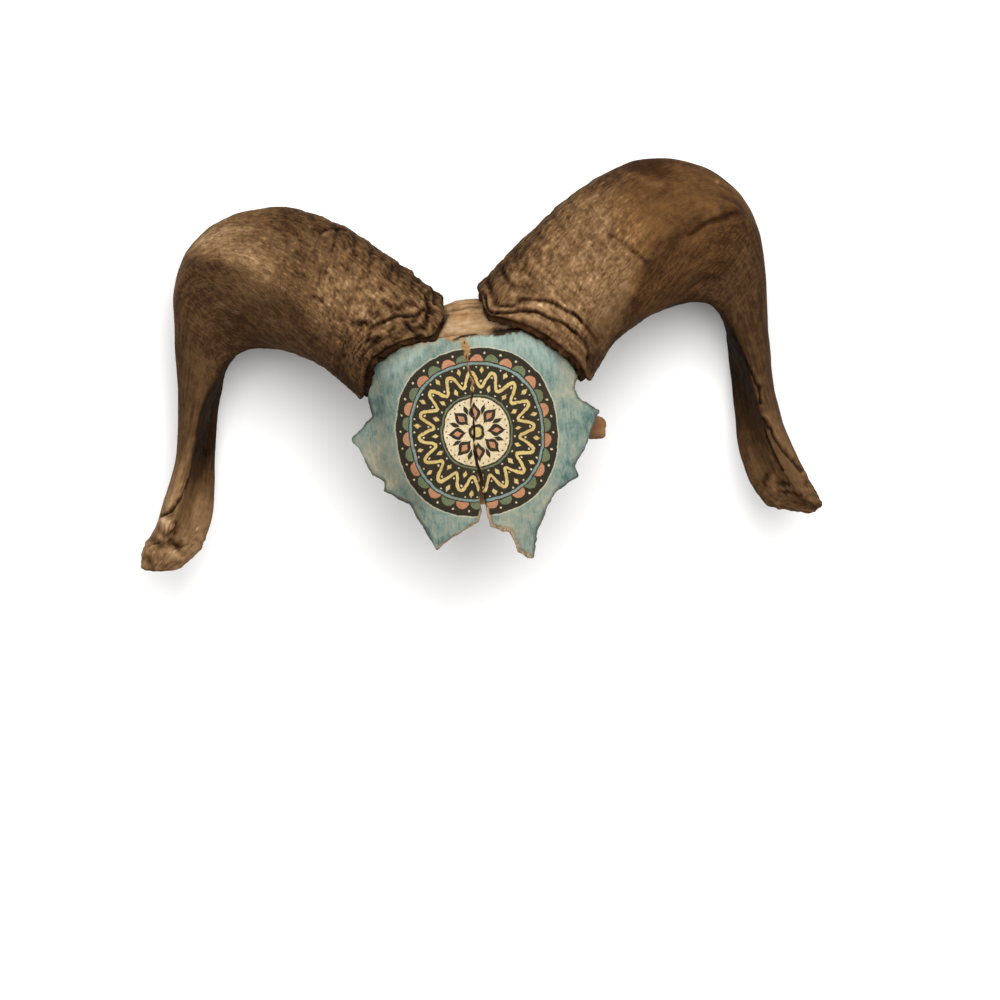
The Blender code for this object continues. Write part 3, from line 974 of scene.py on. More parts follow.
    def looks(self, rings: Rings, relief: Array, flaky: Array, wander: Array) -> dict[str, Array]:
        """What the material reads at each point of the rings.

        Args:
            rings: The plain rings.
            relief: The height of each point above them.
            flaky: How flaky each point is.
            wander: Noise that makes the borders uneven.

        Returns:
            A value for each point, by the attribute's name.
        """
        x, y = DRAWING.as_seen(rings.points)
        shown = fade(-0.05, 0.2, rings.normals[..., 2])
        front_gap = region_distance(x, y, self.front) + wander * 2.5
        hatched = fade(-4, 5, front_gap) * shown * fall(0.5, 0.65, rings.share)
        warm = np.zeros(x.shape)
        for middle_x, middle_y, radius in self.warm:
            gap = np.hypot(x - middle_x, y - middle_y) + wander * 5
            warm = np.maximum(warm, shown * fall(0.6 * radius, radius, gap))
        return {
            "tone": self.tone(rings, front_gap, shown),
            # Painted highlights on crests and painted shade in pits.
            "relief": self.crest_shading(relief),
            "flaky": flaky * (1 - 0.7 * hatched),
            "warm": warm,
            "hatched": hatched,
        }

    def hatch(self, rings: Rings) -> Array:
        """Points as they are seen, turned so that the first part runs out of the base."""
        x, y = DRAWING.as_seen(rings.points)
        away_x, away_y = self.base.away
        return np.stack((x * away_x + y * away_y, x * away_y - y * away_x, rings.points[..., 2]), axis=-1)

    def build(self, material: Material) -> bpy.types.Object:
        """Make the sheath's mesh with its grain and tones, and show it."""
        rings = self.rings()
        texture, flaky = self.texture(rings)
        mark_height, mark_light_and_shade = self.marked(rings)
        relief = self.folds(rings) + texture + mark_height
        solid = rings.points + self.rim_shifts(rings) + rings.normals * relief[..., None]
        base = self.base_rows(solid[0])
        tip = self.tip_rows(solid)
        mesh = self.skin(within_box(self.name, np.concatenate((base, solid, tip))))

        before, after = len(base), len(tip)
        grain = lengthened(rings.grain, before, after)
        grain[:before, :, 0] -= np.arange(before, 0, -1)[:, None]
        grain[-after:, :, 0] += np.arange(1, after + 1)[:, None]
        store(mesh, "grain", with_poles(grain))
        store(mesh, "hatch", with_poles(lengthened(self.hatch(rings), before, after)))
        wander = self.noise(HornLayer.WANDER).layers(rings.grain, (16, 9, 9), 2)
        spotted = 0.16 * wander[0] + 0.14 * self.noise(HornLayer.COLLAR).layers(base, 5.0, 3)
        looks = self.looks(rings, relief, flaky, wander)
        # Add the marks' painted light and shade.
        looks["tone"] = looks["tone"] + mark_light_and_shade
        inside = {"tone": self.collar_tone + spotted, "flaky": 0.3, "warm": self.collar_warm}
        for name, values in looks.items():
            rows = lengthened(values, before, after)
            rows[:before] = inside.get(name, 0.0)
            store(mesh, name, np.concatenate((rows.ravel(), (rows[0, 0], rows[-1, 0]))))
        return show(self.name, mesh, material)

    def skin(self, rows: Array) -> bpy.types.Mesh:
        """Join the rows by faces, and close both ends with a fan to a pole."""
        count, around = rows.shape[:2]
        index = np.arange(count * around).reshape(count, around)
        following = np.roll(index, -1, axis=1)
        quads = np.stack((index[:-1], following[:-1], following[1:], index[1:]), axis=-1).reshape(-1, 4)
        pole = np.full(around, count * around)
        near = np.stack((pole, following[0], index[0]), axis=-1)
        far = np.stack((pole + 1, index[-1], following[-1]), axis=-1)
        points = DRAWING.to_model(with_poles(rows))
        return surface_mesh(f"{self.name}_look", points, quads, np.concatenate((near, far)))


def smoothed(values: Array, width: int) -> Array:
    """Average a grid over a square window, closed round its second axis."""
    kernel = width // 2
    total = np.zeros(values.shape)
    for step in range(-kernel, kernel + 1):
        total += np.roll(values, step, axis=1)
    longer = np.pad(total, ((kernel, kernel), (0, 0)), mode="edge")
    summed = np.cumsum(np.concatenate((np.zeros((1, values.shape[1])), longer)), axis=0)
    return (summed[width:] - summed[:-width]) / width**2


def within_box(node: str, points: Array, ease: float = 2.5) -> Array:
    """Keep drawn points inside the box of a CAD node.

    Args:
        node: The node's name.
        points: Drawn points.
        ease: How far from a side of the box the points start to be held back.

    Returns:
        The points. Past the start, a distance d becomes ease * (1 - exp(-d / ease)). At the bottom
        of the box the points are only held at its side, so that the flats stay flat.
    """
    low, high = (np.array(corner) / MM - np.asarray(DRAWING.forehead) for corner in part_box(node))
    over = np.maximum(points - (high - ease), 0)
    points = np.where(over > 0, high - ease + ease * (1 - np.exp(-over / ease)), points)
    under = np.maximum((low + ease) - points, 0)
    held = np.where(under > 0, low + ease - ease * (1 - np.exp(-under / ease)), points)
    held[..., 2] = np.maximum(points[..., 2], low[2])
    return held


def smooth_least(a: Array, b: Array, reach: float) -> Array:
    """The lesser of two distances, rounded where they meet: a blend less reach * h * (1 - h)."""
    h = np.clip(0.5 + 0.5 * (b - a) / reach, 0, 1)
    return b + (a - b) * h - reach * h * (1 - h)


def smooth_most(a: Array, b: Array, reach: float) -> Array:
    """The greater of two distances, rounded where they meet."""
    return -smooth_least(-a, -b, reach)


def turned(degrees: float, dx: Array, dy: Array) -> tuple[Array, Array]:
    """A step in the plane as its parts along and across a direction at an angle."""
    cosine, sine = math.cos(math.radians(degrees)), math.sin(math.radians(degrees))
    return dx * cosine + dy * sine, dy * cosine - dx * sine


@dataclass(frozen=True)
class Lump:
    """An ellipsoid of bone or of air, turned about the upright axis by degrees."""

    centre: Place
    radii: Place
    turn: float = 0.0

    def distance(self, x: Array, y: Array, z: Array) -> Array:
        """The distance to the surface, near enough: k0 * (k0 - 1) / k1, from the stretched radii."""
        dz = z - self.centre[2]
        along, across = turned(self.turn, x - self.centre[0], y - self.centre[1])
        a, b, c = self.radii
        near = np.sqrt((along / a) ** 2 + (across / b) ** 2 + (dz / c) ** 2) + 1e-6
        slope = np.sqrt((along / a**2) ** 2 + (across / b**2) ** 2 + (dz / c**2) ** 2) + 1e-9
        return near * (near - 1) / slope


@dataclass(frozen=True)
class Rod:
    """A rod of bone or of air with round ends, and a radius at each end."""

    start: Place
    end: Place
    radii: Span

    def distance(self, x: Array, y: Array, z: Array) -> Array:
        """The distance to the nearest point of the axis, less the radius there."""
        run = np.subtract(self.end, self.start)
        dx, dy, dz = x - self.start[0], y - self.start[1], z - self.start[2]
        share = np.clip((dx * run[0] + dy * run[1] + dz * run[2]) / float(run @ run), 0, 1)
        gap = np.sqrt(sum((part - share * length) ** 2 for part, length in zip((dx, dy, dz), run)))
        return gap - (self.radii[0] + share * (self.radii[1] - self.radii[0]))


@dataclass(frozen=True)
class Block:
    """A block of bone with rounded edges, turned about the upright axis by degrees."""

    centre: Place
    half: Place
    rounding: float
    turn: float = 0.0

    def distance(self, x: Array, y: Array, z: Array) -> Array:
        """The distance to the block shrunk by its rounding, less the rounding."""
        places = (*turned(self.turn, x - self.centre[0], y - self.centre[1]), z - self.centre[2])
        over = [np.abs(place) - half + self.rounding for place, half in zip(places, self.half)]
        outside = np.sqrt(sum(np.maximum(part, 0) ** 2 for part in over))
        inside = np.minimum(np.maximum(np.maximum(over[0], over[1]), over[2]), 0)
        return outside + inside - self.rounding


@dataclass(frozen=True)
class SurfaceNet:
    """Meshes the zero surface of a field on a box of uneven cells, with one point in each cell it crosses."""

    xs: Array
    ys: Array
    zs: Array

    def mesh(self, field: Array) -> tuple[Array, Array]:
        """Mesh the surface.

        Args:
            field: The field at the corners of the cells, below 0 inside.

        Returns:
            The points, each the mean of the crossings on its cell's edges, and faces of four points,
            one round each edge of the box that the surface crosses.
        """
        inside = field < 0
        count = sum(inside[i:i - 1 or None, j:j - 1 or None, k:k - 1 or None].astype(np.int8)
                    for i, j, k in np.ndindex(2, 2, 2))
        cells = np.argwhere((count > 0) & (count < 8))
        index = np.full(count.shape, -1)
        index[tuple(cells.T)] = np.arange(len(cells))
        return self.points(field, cells), self.faces(inside, index)

    def points(self, field: Array, cells: Array) -> Array:
        """The mean of the crossings on the twelve edges of each cell."""
        total = np.zeros((len(cells), 3))
        hits = np.zeros(len(cells))
        axes = (self.xs, self.ys, self.zs)
        for start in np.ndindex(2, 2, 2):
            for axis in range(3):
                if start[axis]:
                    continue
                step = np.array(start)
                step[axis] = 1
                low, high = cells + np.array(start), cells + step
                a, b = field[tuple(low.T)], field[tuple(high.T)]
                crossed = (a < 0) != (b < 0)
                share = np.where(crossed, a / np.where(crossed, a - b, 1), 0)
                for part in range(3):
                    first = axes[part][low[:, part]]
                    second = axes[part][high[:, part]]
                    total[:, part] += crossed * (first + (second - first) * share)
                hits += crossed
        return total / hits[:, None]

    @staticmethod
    def faces(inside: Array, index: Array) -> Array:
        """Four cells round each crossed edge, ordered so that the face looks out of the inside."""
        quads = []
        for axis in range(3):
            moved = np.moveaxis(inside, axis, 0)
            cells = np.moveaxis(index, axis, 0)
            crossed = moved[:-1] != moved[1:]
            spots = np.argwhere(crossed[:, 1:-1, 1:-1]) + np.array((0, 1, 1))
            i, j, k = spots.T
            corners = ((-1, -1), (0, -1), (0, 0), (-1, 0))
            ring = np.stack([cells[i, j + right, k + up] for right, up in corners], axis=1)
            outward = moved[i, j, k] ^ (axis == 1)
            quads.append(np.where(outward[:, None], ring, ring[:, ::-1]))
        return np.concatenate(quads)


def largest_body(points: Array, quads: Array) -> tuple[Array, Array]:
    """Keep only the largest connected body of a mesh.

    Args:
        points: The points.
        quads: Faces of four points.

    Returns:
        The points and faces of that body. Labels spread along the edges, each point taking the
        least label near it, until none changes.
    """
    label = np.arange(len(points))
    edges = np.concatenate([quads[:, [i, (i + 1) % 4]] for i in range(4)])
    while True:
        least = np.minimum(label[edges[:, 0]], label[edges[:, 1]])
        fresh = label.copy()
        np.minimum.at(fresh, edges[:, 0], least)
        np.minimum.at(fresh, edges[:, 1], least)
        fresh = fresh[fresh]
        if np.array_equal(fresh, label):
            break
        label = fresh
    names, sizes = np.unique(label, return_counts=True)
    kept = label == names[np.argmax(sizes)]
    fresh_index = np.cumsum(kept) - 1
    return points[kept], fresh_index[quads[kept[quads[:, 0]]]]


@dataclass(frozen=True)
class Polar:
    """The angle and radius of each point round a centre, in millimetres, and shapes that repeat round it."""

    shader: Shader
    angle: Wire
    radius: Wire
    soft: ClassVar[float] = 0.3

    def within(self, size: float, soft: float = soft) -> Wire:
        """1 inside a radius, with a soft border."""
        return self.radius.rise(size + soft, size - soft)

    def between(self, low: float, high: float) -> Wire:
        """A ring that is 1 between two radii."""
        inside = self.radius.rise(low - self.soft, low + self.soft)
        return inside * self.radius.rise(high + self.soft, high - self.soft)

    def sector(self, count: int, offset: float) -> Wire:
        """The place within one of a number of equal sectors, from -0.5 to 0.5."""
        turns = self.angle * (count / TURN) + offset + 0.5
        return self.shader.maths("FRACT", turns) - 0.5

    def winding(self, ring: float, swing: float, bends: int) -> Wire:
        """A vine: where the distance from a cosine wave round the ring, less its slope, is small."""
        wave = self.shader.maths("COSINE", self.angle * bends) * swing
        slope = self.shader.maths("SINE", self.angle * bends) * (swing * bends / ring)
        gap = abs(self.radius - ring - wave) / self.shader.maths("SQRT", 1 + slope * slope)
        return gap.rise(1.35, 0.9)

    def leaves(self, count: int, start: float, end: float, half: float, offset: float) -> Wire:
        """Pointed leaves: where the distance from a leaf's middle line is under a sine of its length."""
        across = abs(self.sector(count, offset)) * self.radius * (TURN / count)
        along = ((self.radius - start) / (end - start)).rise(0.0, 1.0)
        width = self.shader.maths("SINE", along * math.pi) * half
        inside = self.between(start, end)
        return (width - across).rise(-0.25, 0.35) * inside

    def dots(self, count: int, ring: float, size: float, offset: float) -> Wire:
        """Round dots on a ring: where the distance from a dot's middle is under its size."""
        across = self.sector(count, offset) * self.radius * (TURN / count)
        away = self.radius - ring
        gap = self.shader.maths("SQRT", across * across + away * away)
        return gap.rise(size + self.soft, size - self.soft)

    def half_discs(self, count: int, foot: float, size: float) -> tuple[Wire, Wire]:
        """Half discs that stand on a ring, in two masks that take turns."""
        across = self.sector(count, 0.0) * self.radius * (TURN / count)
        up = self.radius - foot
        gap = self.shader.maths("SQRT", across * across + up * up)
        disc = gap.rise(size, size - 0.5) * self.radius.rise(foot - 0.2, foot + 0.4)
        pair = self.shader.maths("FRACT", (self.angle * (count / TURN) + 0.5) * 0.5)
        first = pair.rise(0.499, 0.501)
        return disc * first, disc * (1 - first)


@dataclass(frozen=True)
class Medallion:
    """A round painted rosette: petals on cream, a winding vine on charcoal, and a band of scallops."""

    centre: Point = (1.2, -1.6)
    squareness: float = 0.02
    stretch: float = 1.04
    heart: float = 6.0
    disc: float = 25.5
    vine: float = 38.4
    swing: float = 5.4
    line: Span = (49.2, 51.0)
    edge: float = 61.5
    petals: int = 8
    bends: int = 16
    scallops: int = 30
    scallop: float = 5.3
    cream: Colour = srgb(202, 187, 156)
    yellow: Colour = srgb(192, 170, 112)
    peach: Colour = srgb(170, 122, 92)
    sage: Colour = srgb(98, 108, 82)
    pale_blue: Colour = srgb(116, 136, 134)

    def paint(self, shader: Shader, ground: Any, ink: Any) -> tuple[Socket, Wire]:
        """Paint the rosette over the ground colour.

        Args:
            shader: The shader to add to.
            ground: The colour round the rosette.
            ink: The dark colour between its motifs.

        Returns:
            The colour, and a mask that is 1 on the rosette.
        """
        x, y, _ = shader.apart(shader.place())
        shifted = shader.vectors("ADD", shader.place(), (3.1, 5.7, 1.3))
        shakes = [shader.noise(place, 110.0) * 2.6 + shader.noise(place, 500.0) * 1.0
                  for place in (shader.place(), shifted)]
        right = x * (1 / MM) - (self.centre[0] + DRAWING.forehead[0]) + shakes[0]
        up = (y * (1 / MM) - (self.centre[1] + DRAWING.forehead[1])) / self.stretch + shakes[1]
        angle = shader.maths("ARCTAN2", up, right)
        plain = shader.maths("SQRT", right * right + up * up)
        radius = plain * (1 + shader.maths("COSINE", angle * 4) * self.squareness)

        polar = Polar(shader, angle, radius)
        within = polar.within(self.edge, 0.35)
        bends, petals, vine, disc, heart = self.bends, self.petals, self.vine, self.disc, self.heart
        first, second = polar.half_discs(self.scallops, self.line[1] + 0.8, self.scallop)
        leaves = ((bends, vine + 3.6, vine + 10.0, 1.6, 0.5), (bends, vine - 9.8, vine - 3.4, 1.5, 0.0))
        dots = (
            (bends, vine - 1.4, 0.7, 0.5), (bends, vine + 2.2, 0.75, 0.0), (bends, disc + 3.6, 0.6, 0.5),
            (bends, vine + 9.2, 0.6, 0.25), (bends, vine + 9.2, 0.6, 0.75),
            (self.scallops, self.line[1] + 6.8, 0.75, 0.5),
        )
        layers = [
            (within, ink), (first, self.peach), (second, self.sage),
            (polar.between(*self.line), self.pale_blue),
            (polar.winding(vine, self.swing, bends), self.yellow),
            *((polar.leaves(*leaf), self.yellow) for leaf in leaves),
            *((polar.dots(*dot), self.cream) for dot in dots),
            (polar.within(disc + 1.7), self.sage), (polar.within(disc + 0.5), ink),
            (polar.within(disc - 0.7), self.cream),
            (polar.leaves(petals, heart + 0.5, disc - 2.6, 4.6, 0.0), ink),
            (polar.leaves(petals, heart + 4.6, disc - 7.0, 2.0, 0.0), self.peach),
            (polar.leaves(petals, heart + 6.0, disc - 3.2, 1.7, 0.5), ink),
            (polar.dots(petals * 4, disc - 2.6, 0.55, 0.5), ink),
            (polar.within(heart), ink), (polar.within(heart - 2.3), self.yellow),
            (polar.between(self.edge, self.edge + 0.8) * 0.45, self.cream),
        ]
        colour = ground
        for mask, paint in layers:
            colour = shader.mix(mask, colour, paint)
        return colour, within


@dataclass(frozen=True)
class PaintedBoneFinish:
    """Dry tan bone, with worn turquoise paint and a rosette on the forehead."""

    bone: Stops = (
        (0.1, srgb(78, 50, 28)), (0.45, srgb(132, 96, 58)), (0.75, srgb(156, 125, 88)),
        (1.0, srgb(172, 143, 110)),
    )
    paint: Stops = (
        (0.0, srgb(58, 80, 75)), (0.25, srgb(89, 110, 102)), (0.48, srgb(118, 129, 117)),
        (0.72, srgb(138, 139, 120)), (0.95, srgb(160, 153, 131)),
    )
    ink: Stops = (
        (0.2, srgb(30, 26, 18)), (0.6, srgb(48, 43, 31)), (0.95, srgb(84, 75, 57)),
    )
    pale: Colour = srgb(146, 163, 155)
    age: Colour = srgb(196, 178, 140)
    broken: Colour = srgb(176, 158, 130)
    # Reddish brown: the stained bare bone at the right, and the colour that painted shade multiplies in.
    stain_and_shade: Colour = srgb(96, 60, 42)
    # Near black: grime on the broken edges, and the colour of painted shade in hollows and gaps.
    grime_and_shade: Colour = srgb(30, 21, 14)
    roughness: float = 0.8
    shine: float = 0.15
    depth: float = 0.0009
    relief: float = 0.8
    medallion: Medallion = Medallion()

    def material(self) -> Material:
        """Make the material. The mesh says where it is painted, broken, or in a hollow, and where painted
        shade darkens it.
        """
        shader = Shader("painted_bone")
        place = shader.place()
        painted = shader.read("painted")
        broken = shader.read("broken")
        brush = shader.noise(place, (330.0, 95.0, 120.0), detail=5.0, rough=0.65)
        patches = shader.noise(place, 48.0, detail=4.0, rough=0.6)
        specks = shader.noise(place, 900.0, detail=3.0, rough=0.7)
        veins = shader.noise(place, (55.0, 380.0, 160.0), detail=4.0)

        grained = veins * (0.25 + shader.read("veined") * 0.85)
        # Paler near the edge and past the crown, and darker in the spots of painted shade along the edges.
        bone = shader.ramp(0.47 + shader.read("wear") + patches * 0.9 + grained + specks * 0.5, self.bone)
        bone = shader.mix(broken * (0.6 + specks * 1.2), bone, self.broken)
        bone = shader.mix(broken * (specks * 5.0 + brush * 5.0 - 0.05), bone, self.grime_and_shade)
        bone = shader.mix(shader.read("stained") * (0.95 + patches * 1.5), bone, self.stain_and_shade)

        strokes = shader.noise(place, (700.0, 190.0, 250.0), detail=4.0, rough=0.6)
        # The paint too is paler near the edge and darker in the spots of painted shade along the edges.
        tone = 0.4 + shader.read("wear") + patches * 1.0 + brush * 0.9 + strokes * 0.6 + specks * 0.5
        paled = shader.read("pale") * (0.55 + brush * 1.5)
        wash = shader.mix(paled, shader.ramp(tone, self.paint), self.pale)
        ink = shader.ramp(0.45 + patches * 0.8 + specks * 1.3, self.ink)
        art, on_art = self.medallion.paint(shader, wash, ink)
        art = shader.mix((0.35 + patches * 1.2 + specks * 2.2) * on_art, art, self.age, "MULTIPLY")
        worn = (brush * 0.8 + specks * 1.1).rise(0.26, 0.4)
        colour = shader.mix(worn * (0.7 - on_art * 0.2), art, bone)
        # Painted shade down the left of the forehead and along the edges at its sides, and a little darker
        # towards the nose.
        colour = shader.mix(shader.read("dirt"), colour, self.stain_and_shade, "MULTIPLY")
        colour = shader.mix(painted, bone, colour)
        # Painted shade in the hollows, on faces turned down and under the plate.
        colour = shader.mix(shader.read("cavity") * 0.85, colour, self.grime_and_shade)
        # Near black along the suture, and painted shade in the gaps under the horns' rims, in the crack and
        # at the crown's edge.
        colour = shader.mix(shader.read("soot"), colour, self.grime_and_shade)
        height = 0.5 + brush * 0.6 + specks * 0.6 + strokes * 0.5 + patches * 0.6 - worn * painted * 0.3
        roughness = self.roughness + specks * 0.15 - painted * 0.05
        shader.surface.inputs["Specular IOR Level"].default_value = self.shine
        return shader.finish(colour, roughness, height, self.depth, self.relief)


Form = Lump | Rod | Block

NOSE_BREAK = (
    (-38, -86), (-23, -77), (-5, -69), (-1, -60), (2, -60), (3, -73), (17, -79), (21, -87), (22, -94),
    (33, -101),
)
PLATE_OUTLINE = (
    (-88, 62), (-77, 28), (-76, 19), (-95, 3), (-86, -13), (-81, -25), (-72, -31), (-73, -38),
    (-55, -50), (-50, -61), *NOSE_BREAK[:4], (0, -48), (2, -48), *NOSE_BREAK[4:], (40, -78), (50, -60),
    (56, -52), (74, -42), (72, -34), (74, -30), (79.5, -25), (84, -17), (95, 5), (80, 17), (78, 24), (92, 62),
    (49, 74), (15, 72), (-5, 73), (-18, 73),
)


class BoneLayer(IntEnum):
    """The layers of noise on the bone. The seed of each is this much past the skull's own."""

    RAGGED, GRIT, ROUGH, FINE, LUMPY = range(5)


@dataclass(frozen=True)
class BonePoints:
    """The points of the bone's mesh, and what its masks are made of.

    The edge, the nose and the crack are distances from the plate's outline, the break at the nose and
    the crack, and below is the depth under the forehead. Past the crown is the distance behind its
    uneven edge. The sides are 1 at both sides of the plate, and ragged, rough and fine are noise.
    """

    at: Array
    normals: Array
    edge: Array
    nose: Array
    crack: Array
    below: Array
    past_crown: Array
    sides: Array
    ragged: Array
    rough: Array
    fine: Array

    @property
    def up(self) -> Array:
        """How far each point faces up."""
        return self.normals[:, 2]


@dataclass(frozen=True)
class Skull:
    """The bone: a domed forehead plate on rounded lumps, with hollows, and broken off at the nose."""

    bases: tuple[BasePlane, ...]
    thickness: float = 9.0
    dome: Place = (135.0, 200.0, 90.0)
    dome_y: float = 5.0
    crack: Path = (
        (-1.0, 66), (0.6, 58.7), (-1.0, 54.2), (0.3, 44.7), (1.9, 37.6), (0.7, 26.1), (-1.2, 19.3),
        (-0.3, 9.9), (-0.4, 0.5), (-1.8, -8.6), (-1.6, -18), (-1.2, -25), (0.1, -29.8), (1.0, -36.9),
        (-0.6, -46), (-0.9, -55.3), (-0.4, -61.2),
    )
    suture: Path = ((-15, 90), (-8, 92.5), (-1, 92), (6, 94), (16, 91))
    slit: Path = ((-9, 68.4), (-5, 69.8), (0, 71), (7.5, 71.2), (12, 70.2), (18, 69.6))
    # Lighter spots, and darker spots along the plate's edges that are painted shade where the bone curves
    # away.
    spots: tuple[Spot, ...] = (
        (((-80, -4), (-76, -18), (-66, -28)), 9, 0.26), (((70, 24), (68, 2), (66, -16), (58, -34)), 7, 0.07),
        (((72, 44), (76, 28)), 9, 0.14), (((18, -72), (28, -92)), 7, 0.1), (((-30, 66), (-52, 56)), 4, 0.2),
        (((-94, 2), (-86, 8)), 6, -0.16), (((-74, 28), (-68, 12)), 6, -0.1), (((84, 2), (78, -12)), 8, -0.13),
        (((74, -38), (58, -52)), 8, -0.14), (((48, -66), (38, -88)), 6, -0.18),
        (((-40, -80), (-46, -64)), 6, -0.14), (((-36, -66), (-30, -73)), 5, -0.1),
    )
    shadow: Path = ((-70, 46), (-68, -14), (-52, -48))
    pale_lines: tuple[Spot, ...] = (
        (((12, 66), (44, 60), (60, 48)), 9.0, 1.0),
        (((-34, 62), (-62, 48)), 4.0, 0.7),
    )
    top_edge: Path = (
        (-40, 67), (-28, 69), (-18, 72.5), (-8, 66.8), (0, 69), (11, 70.2), (24, 68), (38, 69.2),
        (48.5, 71), (55, 64),
    )
    shelf_width: float = 6.0
    shelf_depth: float = 8.0
    shoulder: float = 3.2
    shoulder_width: float = 15.0
    chip_width: float = 3.0
    chip_depth: float = 1.2
    clearance: float = 0.8
    core: Span = (42.0, 38.5)
    core_depth: float = 8.0
    pedicle: Place = (34.0, 43.0, 40.0)
    pedicle_inset: float = 12.0
    pedicle_height: float = -46.0
    back_from: float = 72.0
    back_drop: float = 9.0
    flattening: float = 0.94
    cell: float = 1.35
    coarse_cell: float = 2.3
    crack_cell: float = 0.7
    seed: int = 40

    def lumps(self) -> list[tuple[Form, float]]:
        """The forms that are joined, each with the width of its soft joint."""
        forms: list[tuple[Form, float]] = [
            (Lump((3, 52, -66), (46, 50, 52)), 6.0),
            (Lump((0, 30, -40), (60, 52, 38)), 6.0),
            (Lump((0, 28, -88), (27, 62, 22)), 8.0),
            (Lump((2, 86, -74), (38, 10, 16)), 6.0),
            (Rod((-15, 70, -104), (-17, 92, -112), (14, 10)), 5.0),
            (Rod((17, 70, -104), (19, 92, -112), (14, 10)), 5.0),
            (Lump((-27, 46, -108), (12, 16, 15)), 4.0),
            (Lump((29, 46, -108), (12, 16, 15)), 4.0),
            (Rod((-38, 66, -92), (-37, 60, -124), (10, 4)), 5.0),
            (Rod((42, 66, -92), (41, 60, -124), (10, 4)), 5.0),
            (Rod((0, 10, -88), (0, -48, -78), (17, 8)), 6.0),
            (Lump((-60, -10, -44), (21, 27, 28), 8.0), 6.0),
            (Lump((61, -10, -44), (21, 27, 28), -8.0), 6.0),
            (Rod((-50, 20, -50), (-67, 13, -52), (19, 7)), 6.0),
            (Rod((50, 20, -50), (68, 13, -52), (19, 7)), 6.0),
            (Block((78.0, -4.4, -71), (21.5, 8.5, 8.5), 6.0, -8.0), 4.0),
        ]
        for base in self.bases:
            (middle_x, middle_y), (away_x, away_y) = base.middle, base.away
            centre = (middle_x - self.pedicle_inset * away_x, middle_y - self.pedicle_inset * away_y,
                      self.pedicle_height)
            forms.append((Lump(centre, self.pedicle, math.degrees(math.atan2(away_y, away_x))), 6.0))
        return forms

    @staticmethod
    def hollows() -> list[tuple[Form, float]]:
        """The eye sockets, the broken nose and the spine's hole, each with the softness of its rim."""
        return [
            (Lump((-84, -11, -47), (36, 22, 20), 12.0), 3.0),
            (Lump((85, -11, -47), (36, 22, 20), -12.0), 3.0),
            (Lump((0, -62, -44), (36, 62, 32)), 3.0),
            (Rod((1, 40, -90), (1, 110, -100), (10, 14)), 3.0),
        ]

    def top(self, x: Array, y: Array, edge: Array, nose: Array, ragged: Array | float = 0.0) -> Array:
        """The height of the forehead.

        Args:
            x, y: Drawn points.
            edge: Their distances from the plate's outline, below 0 inside.
            nose: Their distances from the break at the nose.
            ragged: Noise that makes the chips uneven.

        Returns:
            The upper half of an ellipsoid that touches height 0, less the shoulders at both sides
            and a shallow step where the break is chipped.
        """
        sides = self.at_sides(y, nose, 4, 18)
        shoulder = self.shoulder * sides * fade(-self.shoulder_width, 1, edge)
        chip = self.chip_depth * fall(-0.5, 0.6, self.chipped(x, nose, ragged))
        return self.dome_height(x, y, self.dome, 0.02) - shoulder - chip

    def dome_height(self, x: Array, y: Array, radii: tuple[float, ...], least: float) -> Array:
        """The height of an ellipsoid of the dome's centre: depth * the root of 1 - (x / a)2 - (y / b)2."""
        across, along, deep = radii
        inside = np.maximum(1 - (x / across) ** 2 - ((y - self.dome_y) / along) ** 2, least)
        return -self.dome[2] + deep * np.sqrt(inside)

    @staticmethod
    def at_sides(y: Array, nose: Array, near: float, far: float) -> Array:
        """1 at both sides of the plate, fading towards the break at the nose and towards the crown."""
        return fade(near, far, nose) * fall(25, 50, y)

    def chipped(self, x: Array, nose: Array, ragged: Array | float) -> Array:
        """How far points lie outside the chipped strip along the break at the nose, wider on the right."""
        return nose - self.chip_width * (0.35 + 0.65 * fade(-12, 12, x)) - 1.8 * ragged

    def underside(self, x: Array, y: Array) -> Array:
        """The height of the plate's lower face."""
        return self.dome_height(x, y, tuple(radius - self.thickness for radius in self.dome), 0.0)

    def shelf(self, x: Array, y: Array, drop: Array, ragged: Array | float) -> Array:
        """A shallow step beside each horn's rim, where dried skin takes the bone's place."""
        steps = []
        for base in self.bases:
            share, out = base.spans(x, y)
            rim = base.rim_shift(share, np.full(share.shape, 0.5))
            steps.append(np.minimum(out - rim + self.shelf_width + ragged * 1.4, self.shelf_depth - drop))
        return np.maximum.reduce(steps)

    def crack_distance(self, x: Array, y: Array, drop: Array, ragged: Array | float) -> Array:
        """The crack down the forehead, wider and deeper towards the nose."""
        half = 0.15 + 0.75 * fall(-40, 40, y)
        return np.maximum(line_distance(x, y, self.crack) - half + ragged, drop - self.crack_depth(y))

    @staticmethod
    def crack_depth(y: Array) -> Array:
        """How deep the crack is: right through the plate near the nose, a scratch near the crown."""
        return 1.3 + 9.5 * fall(-25, 20, y)

    def horn_side(self, x: Array, y: Array, z: Array) -> Array:
        """How far points lie inside the horn sheaths, where only the ends of the bony cores may be."""
        sides = []
        for base in self.bases:
            share, out = base.spans(x, y)
            beyond = out - base.rim_shift(share, base.level(z)) + self.clearance
            height = z - 0.5 * (base.top + base.bottom)
            ring = np.sqrt((share * base.half / self.core[0]) ** 2 + (height / self.core[1]) ** 2)
            core = np.maximum((ring - 1) * self.core[1], out - self.core_depth)
            sides.append(np.minimum(beyond, core))
        return np.maximum.reduce(sides)

    def noise(self, layer: BoneLayer) -> Noise:
        """The noise of a layer."""
        return Noise(self.seed + layer)

    def ragged(self, points: Array) -> Array:
        """The noise that makes the plate's edges uneven, in millimetres."""
        return self.noise(BoneLayer.RAGGED).layers(points, 7.0, 4) * 0.9

